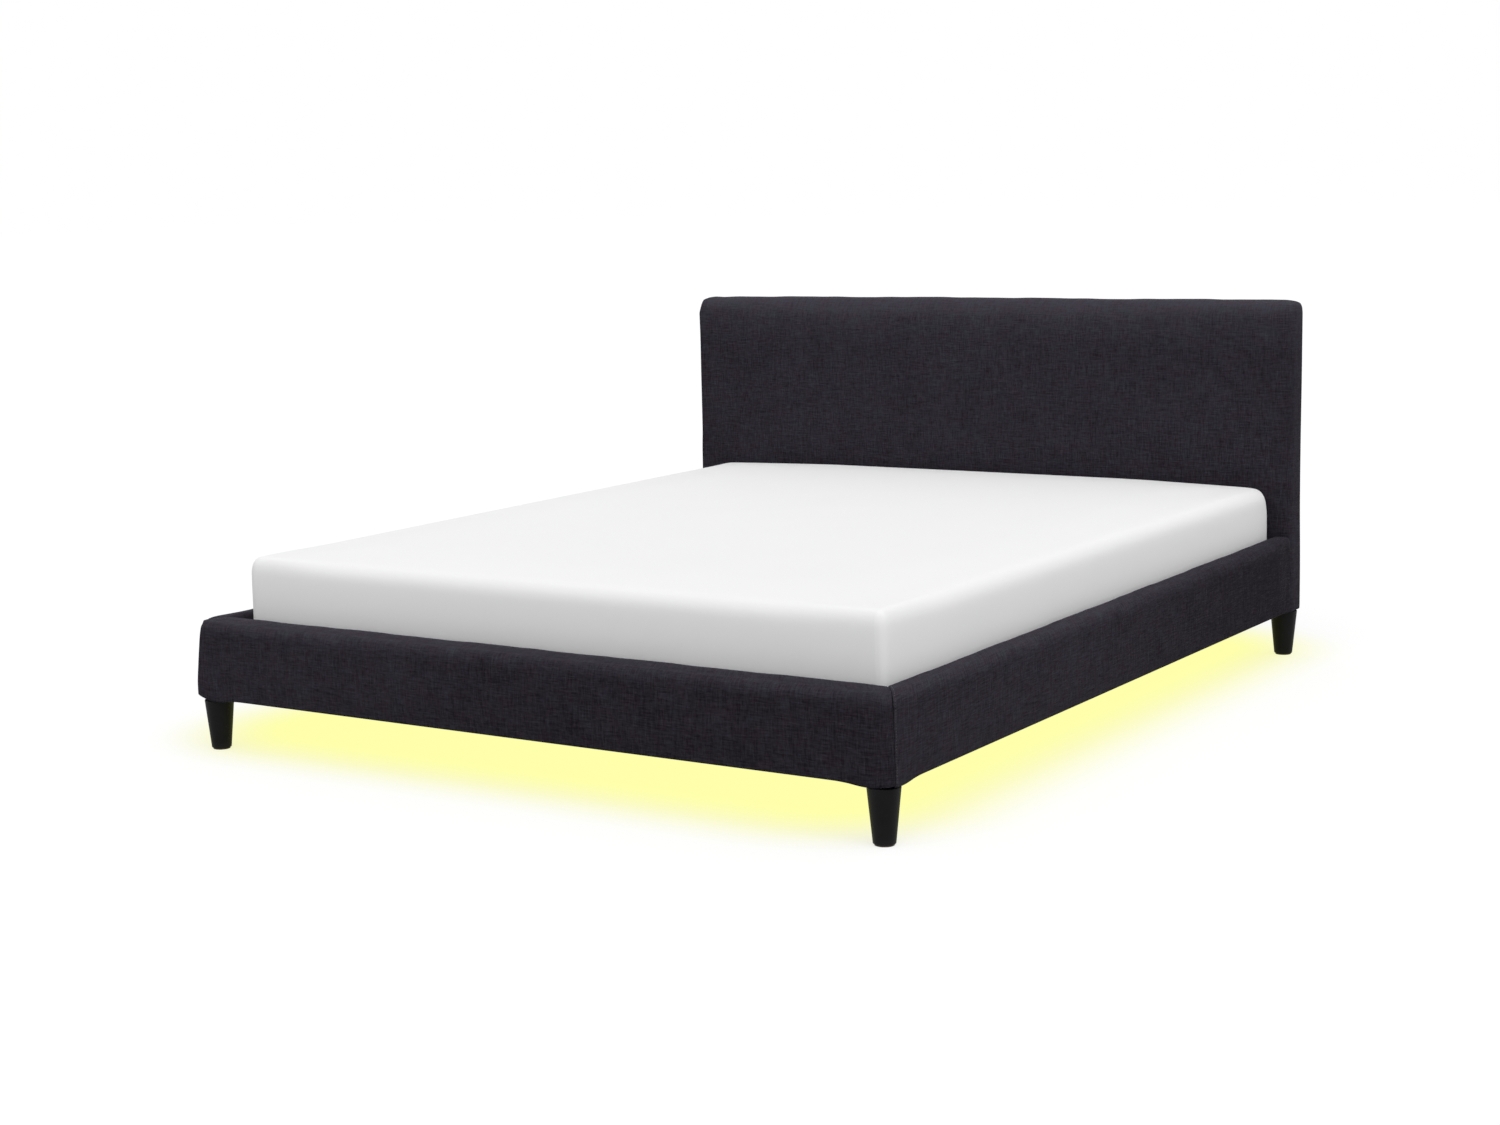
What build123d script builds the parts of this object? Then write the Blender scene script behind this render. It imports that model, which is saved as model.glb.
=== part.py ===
from build123d import *
from math import cos, radians, sin
import os

# Double bed with a padded headboard, footboard and side rails, a light strip underneath and a mattress.
# Millimetres. X runs across the bed, +Y points to the head end and +Z up. The origin is on the floor,
# under the middle of the bed.

# Mattress: a soft block with a crown and full sides. It lies against the right rail, with spare room on
# its left, and the bed's frame is built round it.
mattress_length = 2000
mattress_width = 1600
mattress_thickness = 200
mattress_sink = 66
mattress_crown = 12
mattress_crown_run = 420
mattress_side_fullness = 11
mattress_end_fullness = 2
mattress_edge_radius = 36
mattress_corner_radius = 42
mattress_cover_thickness = 5
mattress_right_gap = 3
mattress_left_gap = 45
mattress_end_gap = 2
edge_steps = 5
side_steps = 4
crown_steps = 4

# Bed: its height, the band of its rails, and the thickness of each padded side
bed_height = 900
rail_bottom = 120
rail_depth = 176
rail_thickness = 45
footboard_thickness = 72
headboard_thickness = 80

# Fabric covers: thickness, rounded edges, the mitred seam at the foot corners, and how far the fabric is
# drawn down over the top of each leg
cover_thickness = 1.5
upright_corner_radius = 14
outer_roll_radius = 14
inner_roll_radius = 10
seam_setback = 14
flare_drop = 7
flare_run = 60
headboard_front_roll = 42
headboard_back_roll = 16
headboard_corner_radius = 25
back_return = 45

# Boards and foam inside the covers
rail_board_thickness = 25
rail_outer_foam = 12.5
footboard_board_thickness = 38
footboard_outer_foam = 16.5
top_foam = 20
headboard_foam_thickness = 20
headboard_side_foam = 12
headboard_panel_thickness = 12
headboard_post_width = 70
headboard_batten_height = 45

# Legs, with a steel stud into the board above and a felt glide below
leg_top_radius = 33
leg_foot_radius = 22
leg_edge_radius = 2
glide_radius = 19
glide_thickness = 3
stud_radius = 4
stud_in_leg = 35
stud_in_board = 45

# Corner brackets and their bolts
bracket_flange = 60
bracket_thickness = 4
bracket_height = 76
bracket_lift = 18
bracket_hole_inset = 26
bracket_bolt_margin = 18
bracket_corner_radius = 6
bolt_radius = 4
bolt_head_radius = 7
bolt_head_height = 4.5
short_bolt_length = 33
long_bolt_length = 55

# Slats, the ledges along the rails and the screws
slat_count = 11
slat_width = 80
slat_thickness = 18
slat_edge_radius = 3
slat_end_gap = 5
ledge_width = 20
ledge_height = 25
ledge_end_gap = 5
screw_radius = 2.5
screw_head_radius = 4.5
screw_head_height = 2.5
frame_screw_length = 36
slat_screw_length = 36

# Centre beam, its hangers, and the two support legs with their threaded feet
beam_width = 50
beam_height = 30
beam_wall = 2
beam_end_gap = 1
hanger_plate_width = 110
hanger_wall = 3
hanger_reach = 40
hanger_cheek_drop = 7
hanger_screw_spacing = 84
support_leg_spacing = 700
support_leg_radius = 19
support_leg_wall = 2
support_leg_plate_length = 90
support_leg_plate_thickness = 4
support_leg_boss_height = 15
support_leg_bolt_spacing = 62
support_leg_bolt_radius = 3
support_leg_bolt_length = 12
support_leg_bolt_head_radius = 5
support_leg_bolt_head_height = 4
foot_travel = 15
foot_stop_gap = 7
foot_disc_radius = 22
foot_disc_height = 8
foot_disc_edge_radius = 2
foot_stem_radius = 5
foot_stem_length = 70

# Light strips, their controller, its push button and the socket for the supply
strip_height = 10
strip_thickness = 3
strip_lift = 4
strip_head_gap = 90
controller_length = 80
controller_height = 38
controller_depth = 22
controller_wall = 2
controller_edge_radius = 1.5
controller_lift = 2
controller_head_gap = 70
button_radius = 5
button_flange_radius = 6.5
button_flange_thickness = 2
button_stand_out = 1.5
inlet_radius = 5.5
inlet_flange_radius = 7
inlet_flange_thickness = 2
inlet_depth = 11
inlet_height = 8.5
inlet_bore_radius = 2.75
inlet_bore_depth = 9
inlet_pin_radius = 1
inlet_pin_length = 8

# Clearances between fixed pieces and round what moves, and one overrun for cuts
fit_clearance = 0.1
moving_clearance = 0.3
overrun = 40

# Overall size, from the mattress and what goes round it
mattress_full_width = mattress_width + 2 * mattress_side_fullness
mattress_full_length = mattress_length + 2 * mattress_end_fullness
inner_width = mattress_full_width + mattress_right_gap + mattress_left_gap
inner_length = mattress_full_length + 2 * mattress_end_gap
bed_width = inner_width + 2 * rail_thickness
bed_length = inner_length + footboard_thickness + headboard_thickness

# Places worked out from the sizes
half_length = bed_length / 2
half_width = bed_width / 2
rail_top = rail_bottom + rail_depth
rail_inner_x = half_width - rail_thickness
foot_inner_y = footboard_thickness - half_length
head_inner_y = half_length - headboard_thickness
leg_top = rail_bottom - flare_drop
leg_x = half_width - leg_top_radius
leg_y = half_length - leg_top_radius
board_bottom = rail_bottom + cover_thickness
board_top = rail_top - cover_thickness - top_foam
board_outer_x = half_width - cover_thickness - rail_outer_foam
board_front_y = cover_thickness + footboard_outer_foam - half_length
board_back_y = board_front_y + footboard_board_thickness
panel_front_y = head_inner_y + cover_thickness + headboard_foam_thickness
panel_back_y = panel_front_y + headboard_panel_thickness
post_back_y = half_length - cover_thickness
post_outer_x = half_width - cover_thickness - headboard_side_foam
post_inner_x = post_outer_x - headboard_post_width
headboard_wood_top = bed_height - cover_thickness - top_foam
mattress_bottom = rail_top - mattress_sink
slat_top = mattress_bottom - moving_clearance
slat_bottom = slat_top - slat_thickness
ledge_start_y = foot_inner_y + bracket_flange + ledge_end_gap
ledge_end_y = head_inner_y - bracket_flange - ledge_end_gap
slat_pitch = (ledge_end_y - ledge_start_y - slat_width) / (slat_count - 1)
slat_places = [ledge_start_y + slat_width / 2 + slat_pitch * index for index in range(slat_count)]
sides = {"left": -1, "right": 1}
ends = {"front": -1, "back": 1}
corner_signs = [(x_sign, y_sign) for y_sign in (-1, 1) for x_sign in (-1, 1)]
corner_names = ["front_left", "front_right", "back_left", "back_right"]

lowest = (Align.CENTER, Align.CENTER, Align.MIN)
highest = (Align.CENTER, Align.CENTER, Align.MAX)

os.makedirs("parts", exist_ok=True)


def finish(piece, name):
    """Name a finished piece and write it."""
    piece.label = name
    export_step(piece, f"parts/{name}.step")


def block(low, high):
    """Box between two corners."""
    size = [b - a for a, b in zip(low, high)]
    middle = [(a + b) / 2 for a, b in zip(low, high)]
    with BuildPart(Plane(middle)) as box:
        Box(*size)
    return box.part


def side_block(sign, low, high):
    """Box between two corners given for the right-hand side, or its mirror image on the left."""
    low_x, high_x = sorted((sign * low[0], sign * high[0]))
    return block((low_x, *low[1:]), (high_x, *high[1:]))


def pins(sites, radius, length, head_radius, head_height, slack=0.0):
    """Bolts with round heads, each with its head standing on the plane of its site."""
    with BuildPart() as group:
        with Locations(*sites):
            Cylinder(radius + slack, length + slack, align=highest)
            Cylinder(head_radius + slack, head_height, align=lowest)
    return group.part


def screws(sites, length, slack=0.0):
    """Countersunk screws, each with its head flush with the plane of its site."""
    with BuildPart() as group:
        with Locations(*sites):
            Cylinder(screw_radius + slack, length + slack, align=highest)
            Cone(screw_radius + slack, screw_head_radius + slack, screw_head_height, align=highest)
    return group.part


def arches(bottom):
    """What lies under the fabric's lower edge, which dips in a hollow curve to the top of each leg."""
    low = bottom - flare_drop
    leg_inner_x = half_width - 2 * leg_top_radius
    leg_inner_y = half_length - 2 * leg_top_radius
    with BuildPart() as space:
        for plane, reach, spread in (
            (Plane.XZ, leg_inner_x, bed_length),
            (Plane.YZ, leg_inner_y, bed_width),
        ):
            with BuildSketch(plane):
                with BuildLine():
                    TangentArc((reach - flare_run, bottom), (reach, low), tangent=(1, 0))
                    TangentArc((flare_run - reach, bottom), (-reach, low), tangent=(-1, 0))
                    Line((reach - flare_run, bottom), (flare_run - reach, bottom))
                    Polyline((reach, low), (reach, low - overrun), (-reach, low - overrun), (-reach, low))
                make_face()
            extrude(amount=spread, both=True)
    return space.part


def on_mattress_side(edge, inset):
    """True for an upper edge of the rails or footboard that faces the mattress."""
    middle = edge @ 0.5
    on_rail = abs(abs(middle.X) - rail_inner_x - inset) < fit_clearance
    on_footboard = abs(middle.Y - foot_inner_y + inset) < fit_clearance
    return on_rail or on_footboard


def padded_rails(inset):
    """Footboard and side rails as one padded form, drawn in by inset, with its rolled upper edges."""
    outer_x = half_width - inset
    inner_x = rail_inner_x + inset
    front_y = inset - half_length
    back_y = foot_inner_y - inset
    end_y = head_inner_y - inset
    low = rail_bottom - flare_drop + inset
    under = arches(rail_bottom + inset)
    with BuildPart() as form:
        with BuildSketch(Plane.XY.offset(low)):
            with BuildLine():
                Polyline(
                    (-outer_x, end_y),
                    (-outer_x, front_y),
                    (outer_x, front_y),
                    (outer_x, end_y),
                    (inner_x, end_y),
                    (inner_x, back_y),
                    (-inner_x, back_y),
                    (-inner_x, end_y),
                    close=True,
                )
            make_face()
        extrude(amount=rail_top - inset - low)
        fillet(form.edges().filter_by(Axis.Z).group_by(Axis.Y)[0], radius=upright_corner_radius - inset)
        rims = form.edges().group_by(Axis.Z)[-1]
        ends = rims.filter_by(Axis.X).group_by(Axis.Y)[-1]
        outer = [rim for rim in rims if rim not in ends and not on_mattress_side(rim, inset)]
        fillet(outer, radius=outer_roll_radius - inset)
        rims = form.edges().group_by(Axis.Z)[-1]
        fillet([rim for rim in rims if on_mattress_side(rim, inset)], radius=inner_roll_radius - inset)
        add(under, mode=Mode.SUBTRACT)
    return form.part


def padded_headboard(inset):
    """Headboard as one padded form, drawn in by inset, with its soft roll along the top."""
    low = rail_bottom - flare_drop + inset
    high = bed_height - inset
    front_y = head_inner_y + inset
    back_y = half_length - inset
    under = arches(rail_bottom + inset)
    with BuildPart() as form:
        with BuildSketch(Plane.YZ) as section:
            with Locations(((front_y + back_y) / 2, (low + high) / 2)):
                Rectangle(back_y - front_y, high - low)
            fillet(section.vertices().group_by(Axis.Y)[-1].sort_by(Axis.X)[0], headboard_front_roll - inset)
            fillet(section.vertices().group_by(Axis.Y)[-1].sort_by(Axis.X)[-1], headboard_back_roll - inset)
        extrude(amount=half_width - inset, both=True)
        with BuildSketch(Plane.XZ) as outline:
            with Locations((0, (low + high) / 2)):
                Rectangle(bed_width - 2 * inset, high - low)
            fillet(outline.vertices().group_by(Axis.Y)[-1], headboard_corner_radius - inset)
        extrude(amount=bed_length, both=True, mode=Mode.INTERSECT)
        add(under, mode=Mode.SUBTRACT)
    return form.part


def zone(points):
    """Upright prism that cuts one panel's share out of the padded form, between its mitres."""
    with BuildPart() as prism:
        with BuildSketch(Plane.XY):
            with BuildLine():
                Polyline(*points, close=True)
            make_face()
        extrude(amount=bed_height)
    return prism.part


# Where each fixing goes in: the plane faces the way its head stands, and its shank runs the other way
end_face_y = {-1: foot_inner_y, 1: head_inner_y}
bracket_bottom = rail_bottom + bracket_lift
bracket_top = bracket_bottom + bracket_height
bolt_heights = [bracket_bottom + bracket_bolt_margin, bracket_top - bracket_bolt_margin]
rail_flange_x = rail_inner_x - bracket_thickness
rail_bolt_sites = [
    Plane(
        (x_sign * rail_flange_x, end_face_y[y_sign] - y_sign * bracket_hole_inset, height),
        z_dir=(-x_sign, 0, 0),
    )
    for x_sign, y_sign in corner_signs
    for height in bolt_heights
]
end_bolt_x = rail_inner_x - bracket_hole_inset
end_bolt_sites = [
    Plane(
        (x_sign * end_bolt_x, end_face_y[y_sign] - y_sign * bracket_thickness, height),
        z_dir=(0, -y_sign, 0),
    )
    for x_sign, y_sign in corner_signs
    for height in bolt_heights
]
ledge_inner_x = rail_inner_x - ledge_width
ledge_screw_z = slat_bottom - ledge_height / 2
ledge_screw_sites = [
    Plane((x_sign * ledge_inner_x, y + slat_pitch / 2, ledge_screw_z), z_dir=(-x_sign, 0, 0))
    for x_sign in (-1, 1)
    for y in slat_places[:-1:2]
]
beam_bottom = slat_bottom - beam_height
hanger_screw_z = beam_bottom + beam_height / 2
hanger_screw_sites = [
    Plane(
        (x_sign * hanger_screw_spacing / 2, end_face_y[y_sign] - y_sign * hanger_wall, hanger_screw_z),
        z_dir=(0, -y_sign, 0),
    )
    for x_sign, y_sign in corner_signs
]
slat_screw_x = rail_inner_x - ledge_width / 2
slat_screw_sites = [Plane((sign * slat_screw_x, y, slat_top)) for y in slat_places for sign in (-1, 1)]
support_leg_places = [-support_leg_spacing / 2, support_leg_spacing / 2]
plate_bottom = beam_bottom - support_leg_plate_thickness
support_leg_bolt_sites = [
    Plane((0, y + y_sign * support_leg_bolt_spacing / 2, plate_bottom), z_dir=(0, 0, -1))
    for y in support_leg_places
    for y_sign in (-1, 1)
]

# Fixings, each kind as one group, and the slightly larger bores that they stand in
short_bolt = (bolt_radius, short_bolt_length, bolt_head_radius, bolt_head_height)
long_bolt = (bolt_radius, long_bolt_length, bolt_head_radius, bolt_head_height)
small_bolt = (
    support_leg_bolt_radius,
    support_leg_bolt_length,
    support_leg_bolt_head_radius,
    support_leg_bolt_head_height,
)
frame_screw_sites = ledge_screw_sites + hanger_screw_sites
finish(pins(rail_bolt_sites, *short_bolt), "bracket_bolts_short")
finish(pins(end_bolt_sites, *long_bolt), "bracket_bolts_long")
finish(screws(frame_screw_sites, frame_screw_length), "frame_screws")
finish(screws(slat_screw_sites, slat_screw_length), "slat_screws")
finish(pins(support_leg_bolt_sites, *small_bolt), "support_leg_bolts")
slat_screw_bores = screws(slat_screw_sites, slat_screw_length, slack=fit_clearance)
support_leg_bolt_bores = pins(support_leg_bolt_sites, *small_bolt, slack=fit_clearance)

# Studs: each runs from the leg up into the wood above it
stud_sites = [(x_sign * leg_x, y_sign * leg_y, leg_top - stud_in_leg) for x_sign, y_sign in corner_signs]
stud_length = stud_in_leg + flare_drop + cover_thickness + stud_in_board


def studs(slack=0.0):
    """The four steel studs, or with slack the bores they stand in."""
    with BuildPart() as group:
        with Locations(*stud_sites):
            Cylinder(stud_radius + slack, stud_length, align=lowest)
    return group.part


finish(studs(), "leg_studs")
frame_bores = [
    pins(rail_bolt_sites, *short_bolt, slack=fit_clearance),
    pins(end_bolt_sites, *long_bolt, slack=fit_clearance),
    screws(frame_screw_sites, frame_screw_length, slack=fit_clearance),
    studs(slack=fit_clearance),
]


def bored(piece, bores):
    """A piece with the bores of its fixings cut through it."""
    with BuildPart() as result:
        add(piece)
        for bore in bores:
            add(bore, mode=Mode.SUBTRACT)
    return result.part


# Boards inside the footboard and side rails, which butt together at the foot corners
footboard_wood = block(
    (-board_outer_x, board_front_y, board_bottom),
    (board_outer_x, board_back_y, board_top),
)
rail_wood = {
    name: side_block(
        sign,
        (board_outer_x - rail_board_thickness, board_back_y, board_bottom),
        (board_outer_x, head_inner_y - cover_thickness, board_top),
    )
    for name, sign in sides.items()
}
finish(bored(footboard_wood, frame_bores), "footboard_board")
for name, wood in rail_wood.items():
    finish(bored(wood, frame_bores), f"rail_{name}_board")

# Padded forms. The mitre at each foot corner runs from the inner corner to the seam on the side, a
# little behind the front, and is drawn on past both ends so that the zones cut cleanly.
rails_outside = padded_rails(0)
rails_inside = padded_rails(cover_thickness)
mitre_run = footboard_thickness - seam_setback
outer_x = half_width + rail_thickness
outer_y = seam_setback - half_length - mitre_run
inner_x = rail_inner_x - rail_thickness
inner_y = foot_inner_y + mitre_run
zones = {
    "footboard": zone(
        [
            (outer_x, outer_y),
            (inner_x, inner_y),
            (-inner_x, inner_y),
            (-outer_x, outer_y),
        ]
    )
}
for name, sign in sides.items():
    zones[f"rail_{name}"] = zone(
        [
            (sign * outer_x, outer_y),
            (sign * inner_x, inner_y),
            (sign * inner_x, half_length),
            (sign * outer_x, half_length),
        ]
    )

# Fabric and foam of the footboard and side rails, cut apart at the mitres
for name, share in zones.items():
    with BuildPart() as cover:
        add(rails_outside)
        add(rails_inside, mode=Mode.SUBTRACT)
        add(share, mode=Mode.INTERSECT)
    finish(bored(cover.part, frame_bores), f"{name}_cover")
    with BuildPart() as foam:
        add(rails_inside)
        add(share, mode=Mode.INTERSECT)
        for wood in (footboard_wood, *rail_wood.values()):
            add(wood, mode=Mode.SUBTRACT)
    finish(bored(foam.part, frame_bores), f"{name}_foam")

# Headboard: a panel on two posts and a batten, with foam over the front, top and sides
headboard_panel = block(
    (-post_outer_x, panel_front_y, board_bottom),
    (post_outer_x, panel_back_y, headboard_wood_top),
)
finish(bored(headboard_panel, frame_bores), "headboard_panel")
for name, sign in sides.items():
    post = side_block(
        sign,
        (post_inner_x, panel_back_y, board_bottom),
        (post_outer_x, post_back_y, headboard_wood_top),
    )
    finish(bored(post, frame_bores), f"headboard_post_{name}")
headboard_top_batten = block(
    (-post_inner_x, panel_back_y, headboard_wood_top - headboard_batten_height),
    (post_inner_x, post_back_y, headboard_wood_top),
)
finish(headboard_top_batten, "headboard_top_batten")

# The headboard's fabric turns in round the back, and a thin cloth closes what it leaves open
headboard_inside = padded_headboard(cover_thickness)
headboard_core = block(
    (-post_outer_x, panel_front_y, board_bottom),
    (post_outer_x, half_length, headboard_wood_top),
)
headboard_back_cloth = block(
    (back_return - half_width, post_back_y, rail_bottom + back_return),
    (half_width - back_return, half_length, bed_height - back_return),
)
with BuildPart() as headboard_cover:
    add(padded_headboard(0))
    add(headboard_inside, mode=Mode.SUBTRACT)
    add(headboard_back_cloth, mode=Mode.SUBTRACT)
finish(bored(headboard_cover.part, frame_bores), "headboard_cover")
finish(headboard_back_cloth, "headboard_back_cloth")
with BuildPart() as headboard_foam:
    add(headboard_inside)
    add(headboard_core, mode=Mode.SUBTRACT)
finish(bored(headboard_foam.part, frame_bores), "headboard_foam")

# Legs, turned to a taper, flush with the outer faces of the bed, and their felt glides
for name, (x_sign, y_sign) in zip(corner_names, corner_signs):
    leg_height = leg_top - glide_thickness
    with BuildPart(Plane((x_sign * leg_x, y_sign * leg_y, glide_thickness))) as leg:
        Cone(leg_foot_radius, leg_top_radius, leg_height, align=lowest)
        fillet(leg.edges(), radius=leg_edge_radius)
    finish(bored(leg.part, frame_bores), f"leg_{name}")
with BuildPart() as leg_glides:
    with Locations(*[(x_sign * leg_x, y_sign * leg_y, 0) for x_sign, y_sign in corner_signs]):
        Cylinder(glide_radius, glide_thickness, align=lowest)
finish(leg_glides.part, "leg_glides")

# Corner brackets, folded from steel plate, which hold the rails to the footboard and the headboard
for name, (x_sign, y_sign) in zip(corner_names, corner_signs):
    rail_face = x_sign * rail_inner_x
    end_face = end_face_y[y_sign]
    with BuildPart() as bracket:
        with BuildSketch(Plane.XY.offset(bracket_bottom)):
            with BuildLine():
                Polyline(
                    (rail_face, end_face),
                    (rail_face - x_sign * bracket_flange, end_face),
                    (rail_face - x_sign * bracket_flange, end_face - y_sign * bracket_thickness),
                    (rail_face - x_sign * bracket_thickness, end_face - y_sign * bracket_thickness),
                    (rail_face - x_sign * bracket_thickness, end_face - y_sign * bracket_flange),
                    (rail_face, end_face - y_sign * bracket_flange),
                    close=True,
                )
            make_face()
        extrude(amount=bracket_height)
        end_tips = bracket.edges().filter_by(Axis.Y).group_by(Axis.X)[0 if x_sign > 0 else -1]
        rail_tips = bracket.edges().filter_by(Axis.X).group_by(Axis.Y)[0 if y_sign > 0 else -1]
        fillet([*end_tips, *rail_tips], radius=bracket_corner_radius)
    finish(bored(bracket.part, frame_bores), f"bracket_{name}")

# Ledges along the rails, and the slats screwed to them
for name, sign in sides.items():
    ledge = side_block(
        sign,
        (ledge_inner_x, ledge_start_y, slat_bottom - ledge_height),
        (rail_inner_x, ledge_end_y, slat_bottom),
    )
    finish(bored(ledge, [*frame_bores, slat_screw_bores]), f"ledge_{name}")
slat_half_length = rail_inner_x - slat_end_gap
for index, y in enumerate(slat_places, start=1):
    with BuildPart(Plane((0, y, slat_bottom))) as slat:
        Box(2 * slat_half_length, slat_width, slat_thickness, align=lowest)
        fillet(slat.edges().filter_by(Axis.X), radius=slat_edge_radius)
        fillet(slat.edges().filter_by(Axis.Z), radius=slat_edge_radius)
    finish(bored(slat.part, [slat_screw_bores]), f"slat_{index:02d}")

# Centre beam, a steel tube under the slats, resting in a hanger at each end
beam_start_y = foot_inner_y + hanger_wall + beam_end_gap
beam_end_y = head_inner_y - hanger_wall - beam_end_gap
beam_end = Plane((0, beam_start_y, beam_bottom + beam_height / 2), x_dir=(1, 0, 0), z_dir=(0, 1, 0))
with BuildPart() as centre_beam:
    with BuildSketch(beam_end):
        Rectangle(beam_width, beam_height)
        Rectangle(beam_width - 2 * beam_wall, beam_height - 2 * beam_wall, mode=Mode.SUBTRACT)
    extrude(amount=beam_end_y - beam_start_y)
finish(bored(centre_beam.part, [support_leg_bolt_bores]), "centre_beam")
cradle_bottom = beam_bottom - hanger_wall
cheek_top = slat_bottom - hanger_cheek_drop
cheek_inner_x = beam_width / 2 + moving_clearance
for name, y_sign in ends.items():
    face = end_face_y[y_sign]
    plate_y = face - y_sign * hanger_wall
    reach_y = face - y_sign * hanger_reach
    with BuildPart() as hanger:
        for half_span, top, far_y in (
            (hanger_plate_width / 2, cheek_top, plate_y),
            (cheek_inner_x + hanger_wall, cheek_top, reach_y),
        ):
            low_y, high_y = sorted((face, far_y))
            add(block((-half_span, low_y, cradle_bottom), (half_span, high_y, top)))
        low_y, high_y = sorted((plate_y, reach_y - y_sign * overrun))
        pocket = block((-cheek_inner_x, low_y, beam_bottom), (cheek_inner_x, high_y, cheek_top + overrun))
        add(pocket, mode=Mode.SUBTRACT)
    finish(bored(hanger.part, frame_bores), f"beam_hanger_{name}")

# Support legs under the beam: a tube with a plate on top and a threaded boss below
leg_bottom = foot_disc_height + foot_travel + foot_stop_gap
for name, y in zip(ends, support_leg_places):
    with BuildPart(Plane((0, y, leg_bottom))) as support_leg:
        Cylinder(support_leg_radius, plate_bottom - leg_bottom, align=lowest)
        with Locations((0, 0, support_leg_boss_height)):
            Cylinder(
                support_leg_radius - support_leg_wall,
                plate_bottom - leg_bottom - support_leg_boss_height,
                align=lowest,
                mode=Mode.SUBTRACT,
            )
        Cylinder(
            foot_stem_radius + moving_clearance,
            support_leg_boss_height,
            align=lowest,
            mode=Mode.SUBTRACT,
        )
        with Locations((0, 0, plate_bottom - leg_bottom)):
            Box(beam_width, support_leg_plate_length, support_leg_plate_thickness, align=lowest)
    finish(bored(support_leg.part, [support_leg_bolt_bores]), f"support_leg_{name}")
    with BuildPart(Plane((0, y, 0))) as levelling_foot:
        Cylinder(foot_disc_radius, foot_disc_height, align=lowest)
        fillet(levelling_foot.edges().group_by(Axis.Z)[-1], radius=foot_disc_edge_radius)
        Cylinder(foot_stem_radius, foot_disc_height + foot_stem_length, align=lowest)
    finish(levelling_foot.part, f"levelling_foot_{name}")

# Light strips in soft sleeves, stuck along the inner faces low down, where they light the floor
strip_low = rail_bottom + strip_lift
strip_high = strip_low + strip_height
strip_inner_x = rail_inner_x - strip_thickness
strip_end_y = head_inner_y - strip_head_gap
controller_end_y = head_inner_y - controller_head_gap
controller_start_y = controller_end_y - controller_length
light_strips = {
    "left": block((-rail_inner_x, foot_inner_y, strip_low), (-strip_inner_x, strip_end_y, strip_high)),
    "right": block((strip_inner_x, foot_inner_y, strip_low), (rail_inner_x, controller_start_y, strip_high)),
    "foot": block(
        (-strip_inner_x, foot_inner_y, strip_low),
        (strip_inner_x, foot_inner_y + strip_thickness, strip_high),
    ),
}
for name, strip in light_strips.items():
    finish(strip, f"light_strip_{name}")

# Controller box on the right rail, a closed shell with its button below and the socket at the head end
controller_bottom = rail_bottom + controller_lift
controller_mid_x = rail_inner_x - controller_depth / 2
controller_mid_y = (controller_start_y + controller_end_y) / 2
inlet_z = controller_bottom + inlet_height
inlet_place = Plane((controller_mid_x, controller_end_y, inlet_z), z_dir=(0, 1, 0))
with BuildPart() as controller_case:
    with Locations((controller_mid_x, controller_mid_y, controller_bottom)):
        Box(controller_depth, controller_length, controller_height, align=lowest)
    fillet(controller_case.edges().filter_by(Axis.Y), radius=controller_edge_radius)
    with Locations((controller_mid_x, controller_mid_y, controller_bottom + controller_wall)):
        Box(
            controller_depth - 2 * controller_wall,
            controller_length - 2 * controller_wall,
            controller_height - 2 * controller_wall,
            align=lowest,
            mode=Mode.SUBTRACT,
        )
    with Locations((controller_mid_x, controller_mid_y, controller_bottom)):
        Cylinder(button_radius + moving_clearance, controller_wall, align=lowest, mode=Mode.SUBTRACT)
    with Locations(inlet_place):
        Cylinder(inlet_radius + fit_clearance, controller_wall, align=highest, mode=Mode.SUBTRACT)
finish(controller_case.part, "controller_case")
flange_lift = button_stand_out + controller_wall + fit_clearance
with BuildPart(Plane((controller_mid_x, controller_mid_y, controller_bottom - button_stand_out))) as button:
    Cylinder(button_radius, flange_lift, align=lowest)
    with Locations((0, 0, flange_lift)):
        Cylinder(button_flange_radius, button_flange_thickness, align=lowest)
finish(button.part, "controller_button")
with BuildPart(inlet_place) as power_inlet:
    Cylinder(inlet_radius, inlet_depth - inlet_flange_thickness, align=highest)
    Cylinder(inlet_flange_radius, inlet_flange_thickness, align=lowest)
    with Locations((0, 0, inlet_flange_thickness)):
        Cylinder(inlet_bore_radius, inlet_bore_depth, align=highest, mode=Mode.SUBTRACT)
    with Locations((0, 0, inlet_flange_thickness - inlet_bore_depth)):
        Cylinder(inlet_pin_radius, inlet_pin_length, align=lowest)
finish(power_inlet.part, "power_inlet")

# Mattress: rings of its outline stacked from the bottom edge over the full side to the crown
mattress_x = rail_inner_x - mattress_right_gap - mattress_full_width / 2
mattress_y = (foot_inner_y + head_inner_y) / 2


def mattress_rings(edge_radius, height):
    """Height of each ring above the lowest, how far it is drawn in, and its share of the fullness."""
    quarter = [radians(90 * step / edge_steps) for step in range(edge_steps + 1)]
    rings = [(edge_radius * (1 - cos(turn)), edge_radius * (1 - sin(turn))) for turn in quarter]
    for step in range(1, side_steps):
        rings.append((edge_radius + (height - 2 * edge_radius) * step / side_steps, 0))
    rings += [(height - edge_radius * (1 - sin(turn)), edge_radius * (1 - cos(turn))) for turn in quarter]
    rings = [(z, drawn, 1 - (2 * z / height - 1) ** 2) for z, drawn in rings]
    for step in range(1, crown_steps + 1):
        share = step / crown_steps
        rise = mattress_crown * share * (2 - share)
        rings.append((height + rise, edge_radius + mattress_crown_run * share, 0))
    return rings


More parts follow.
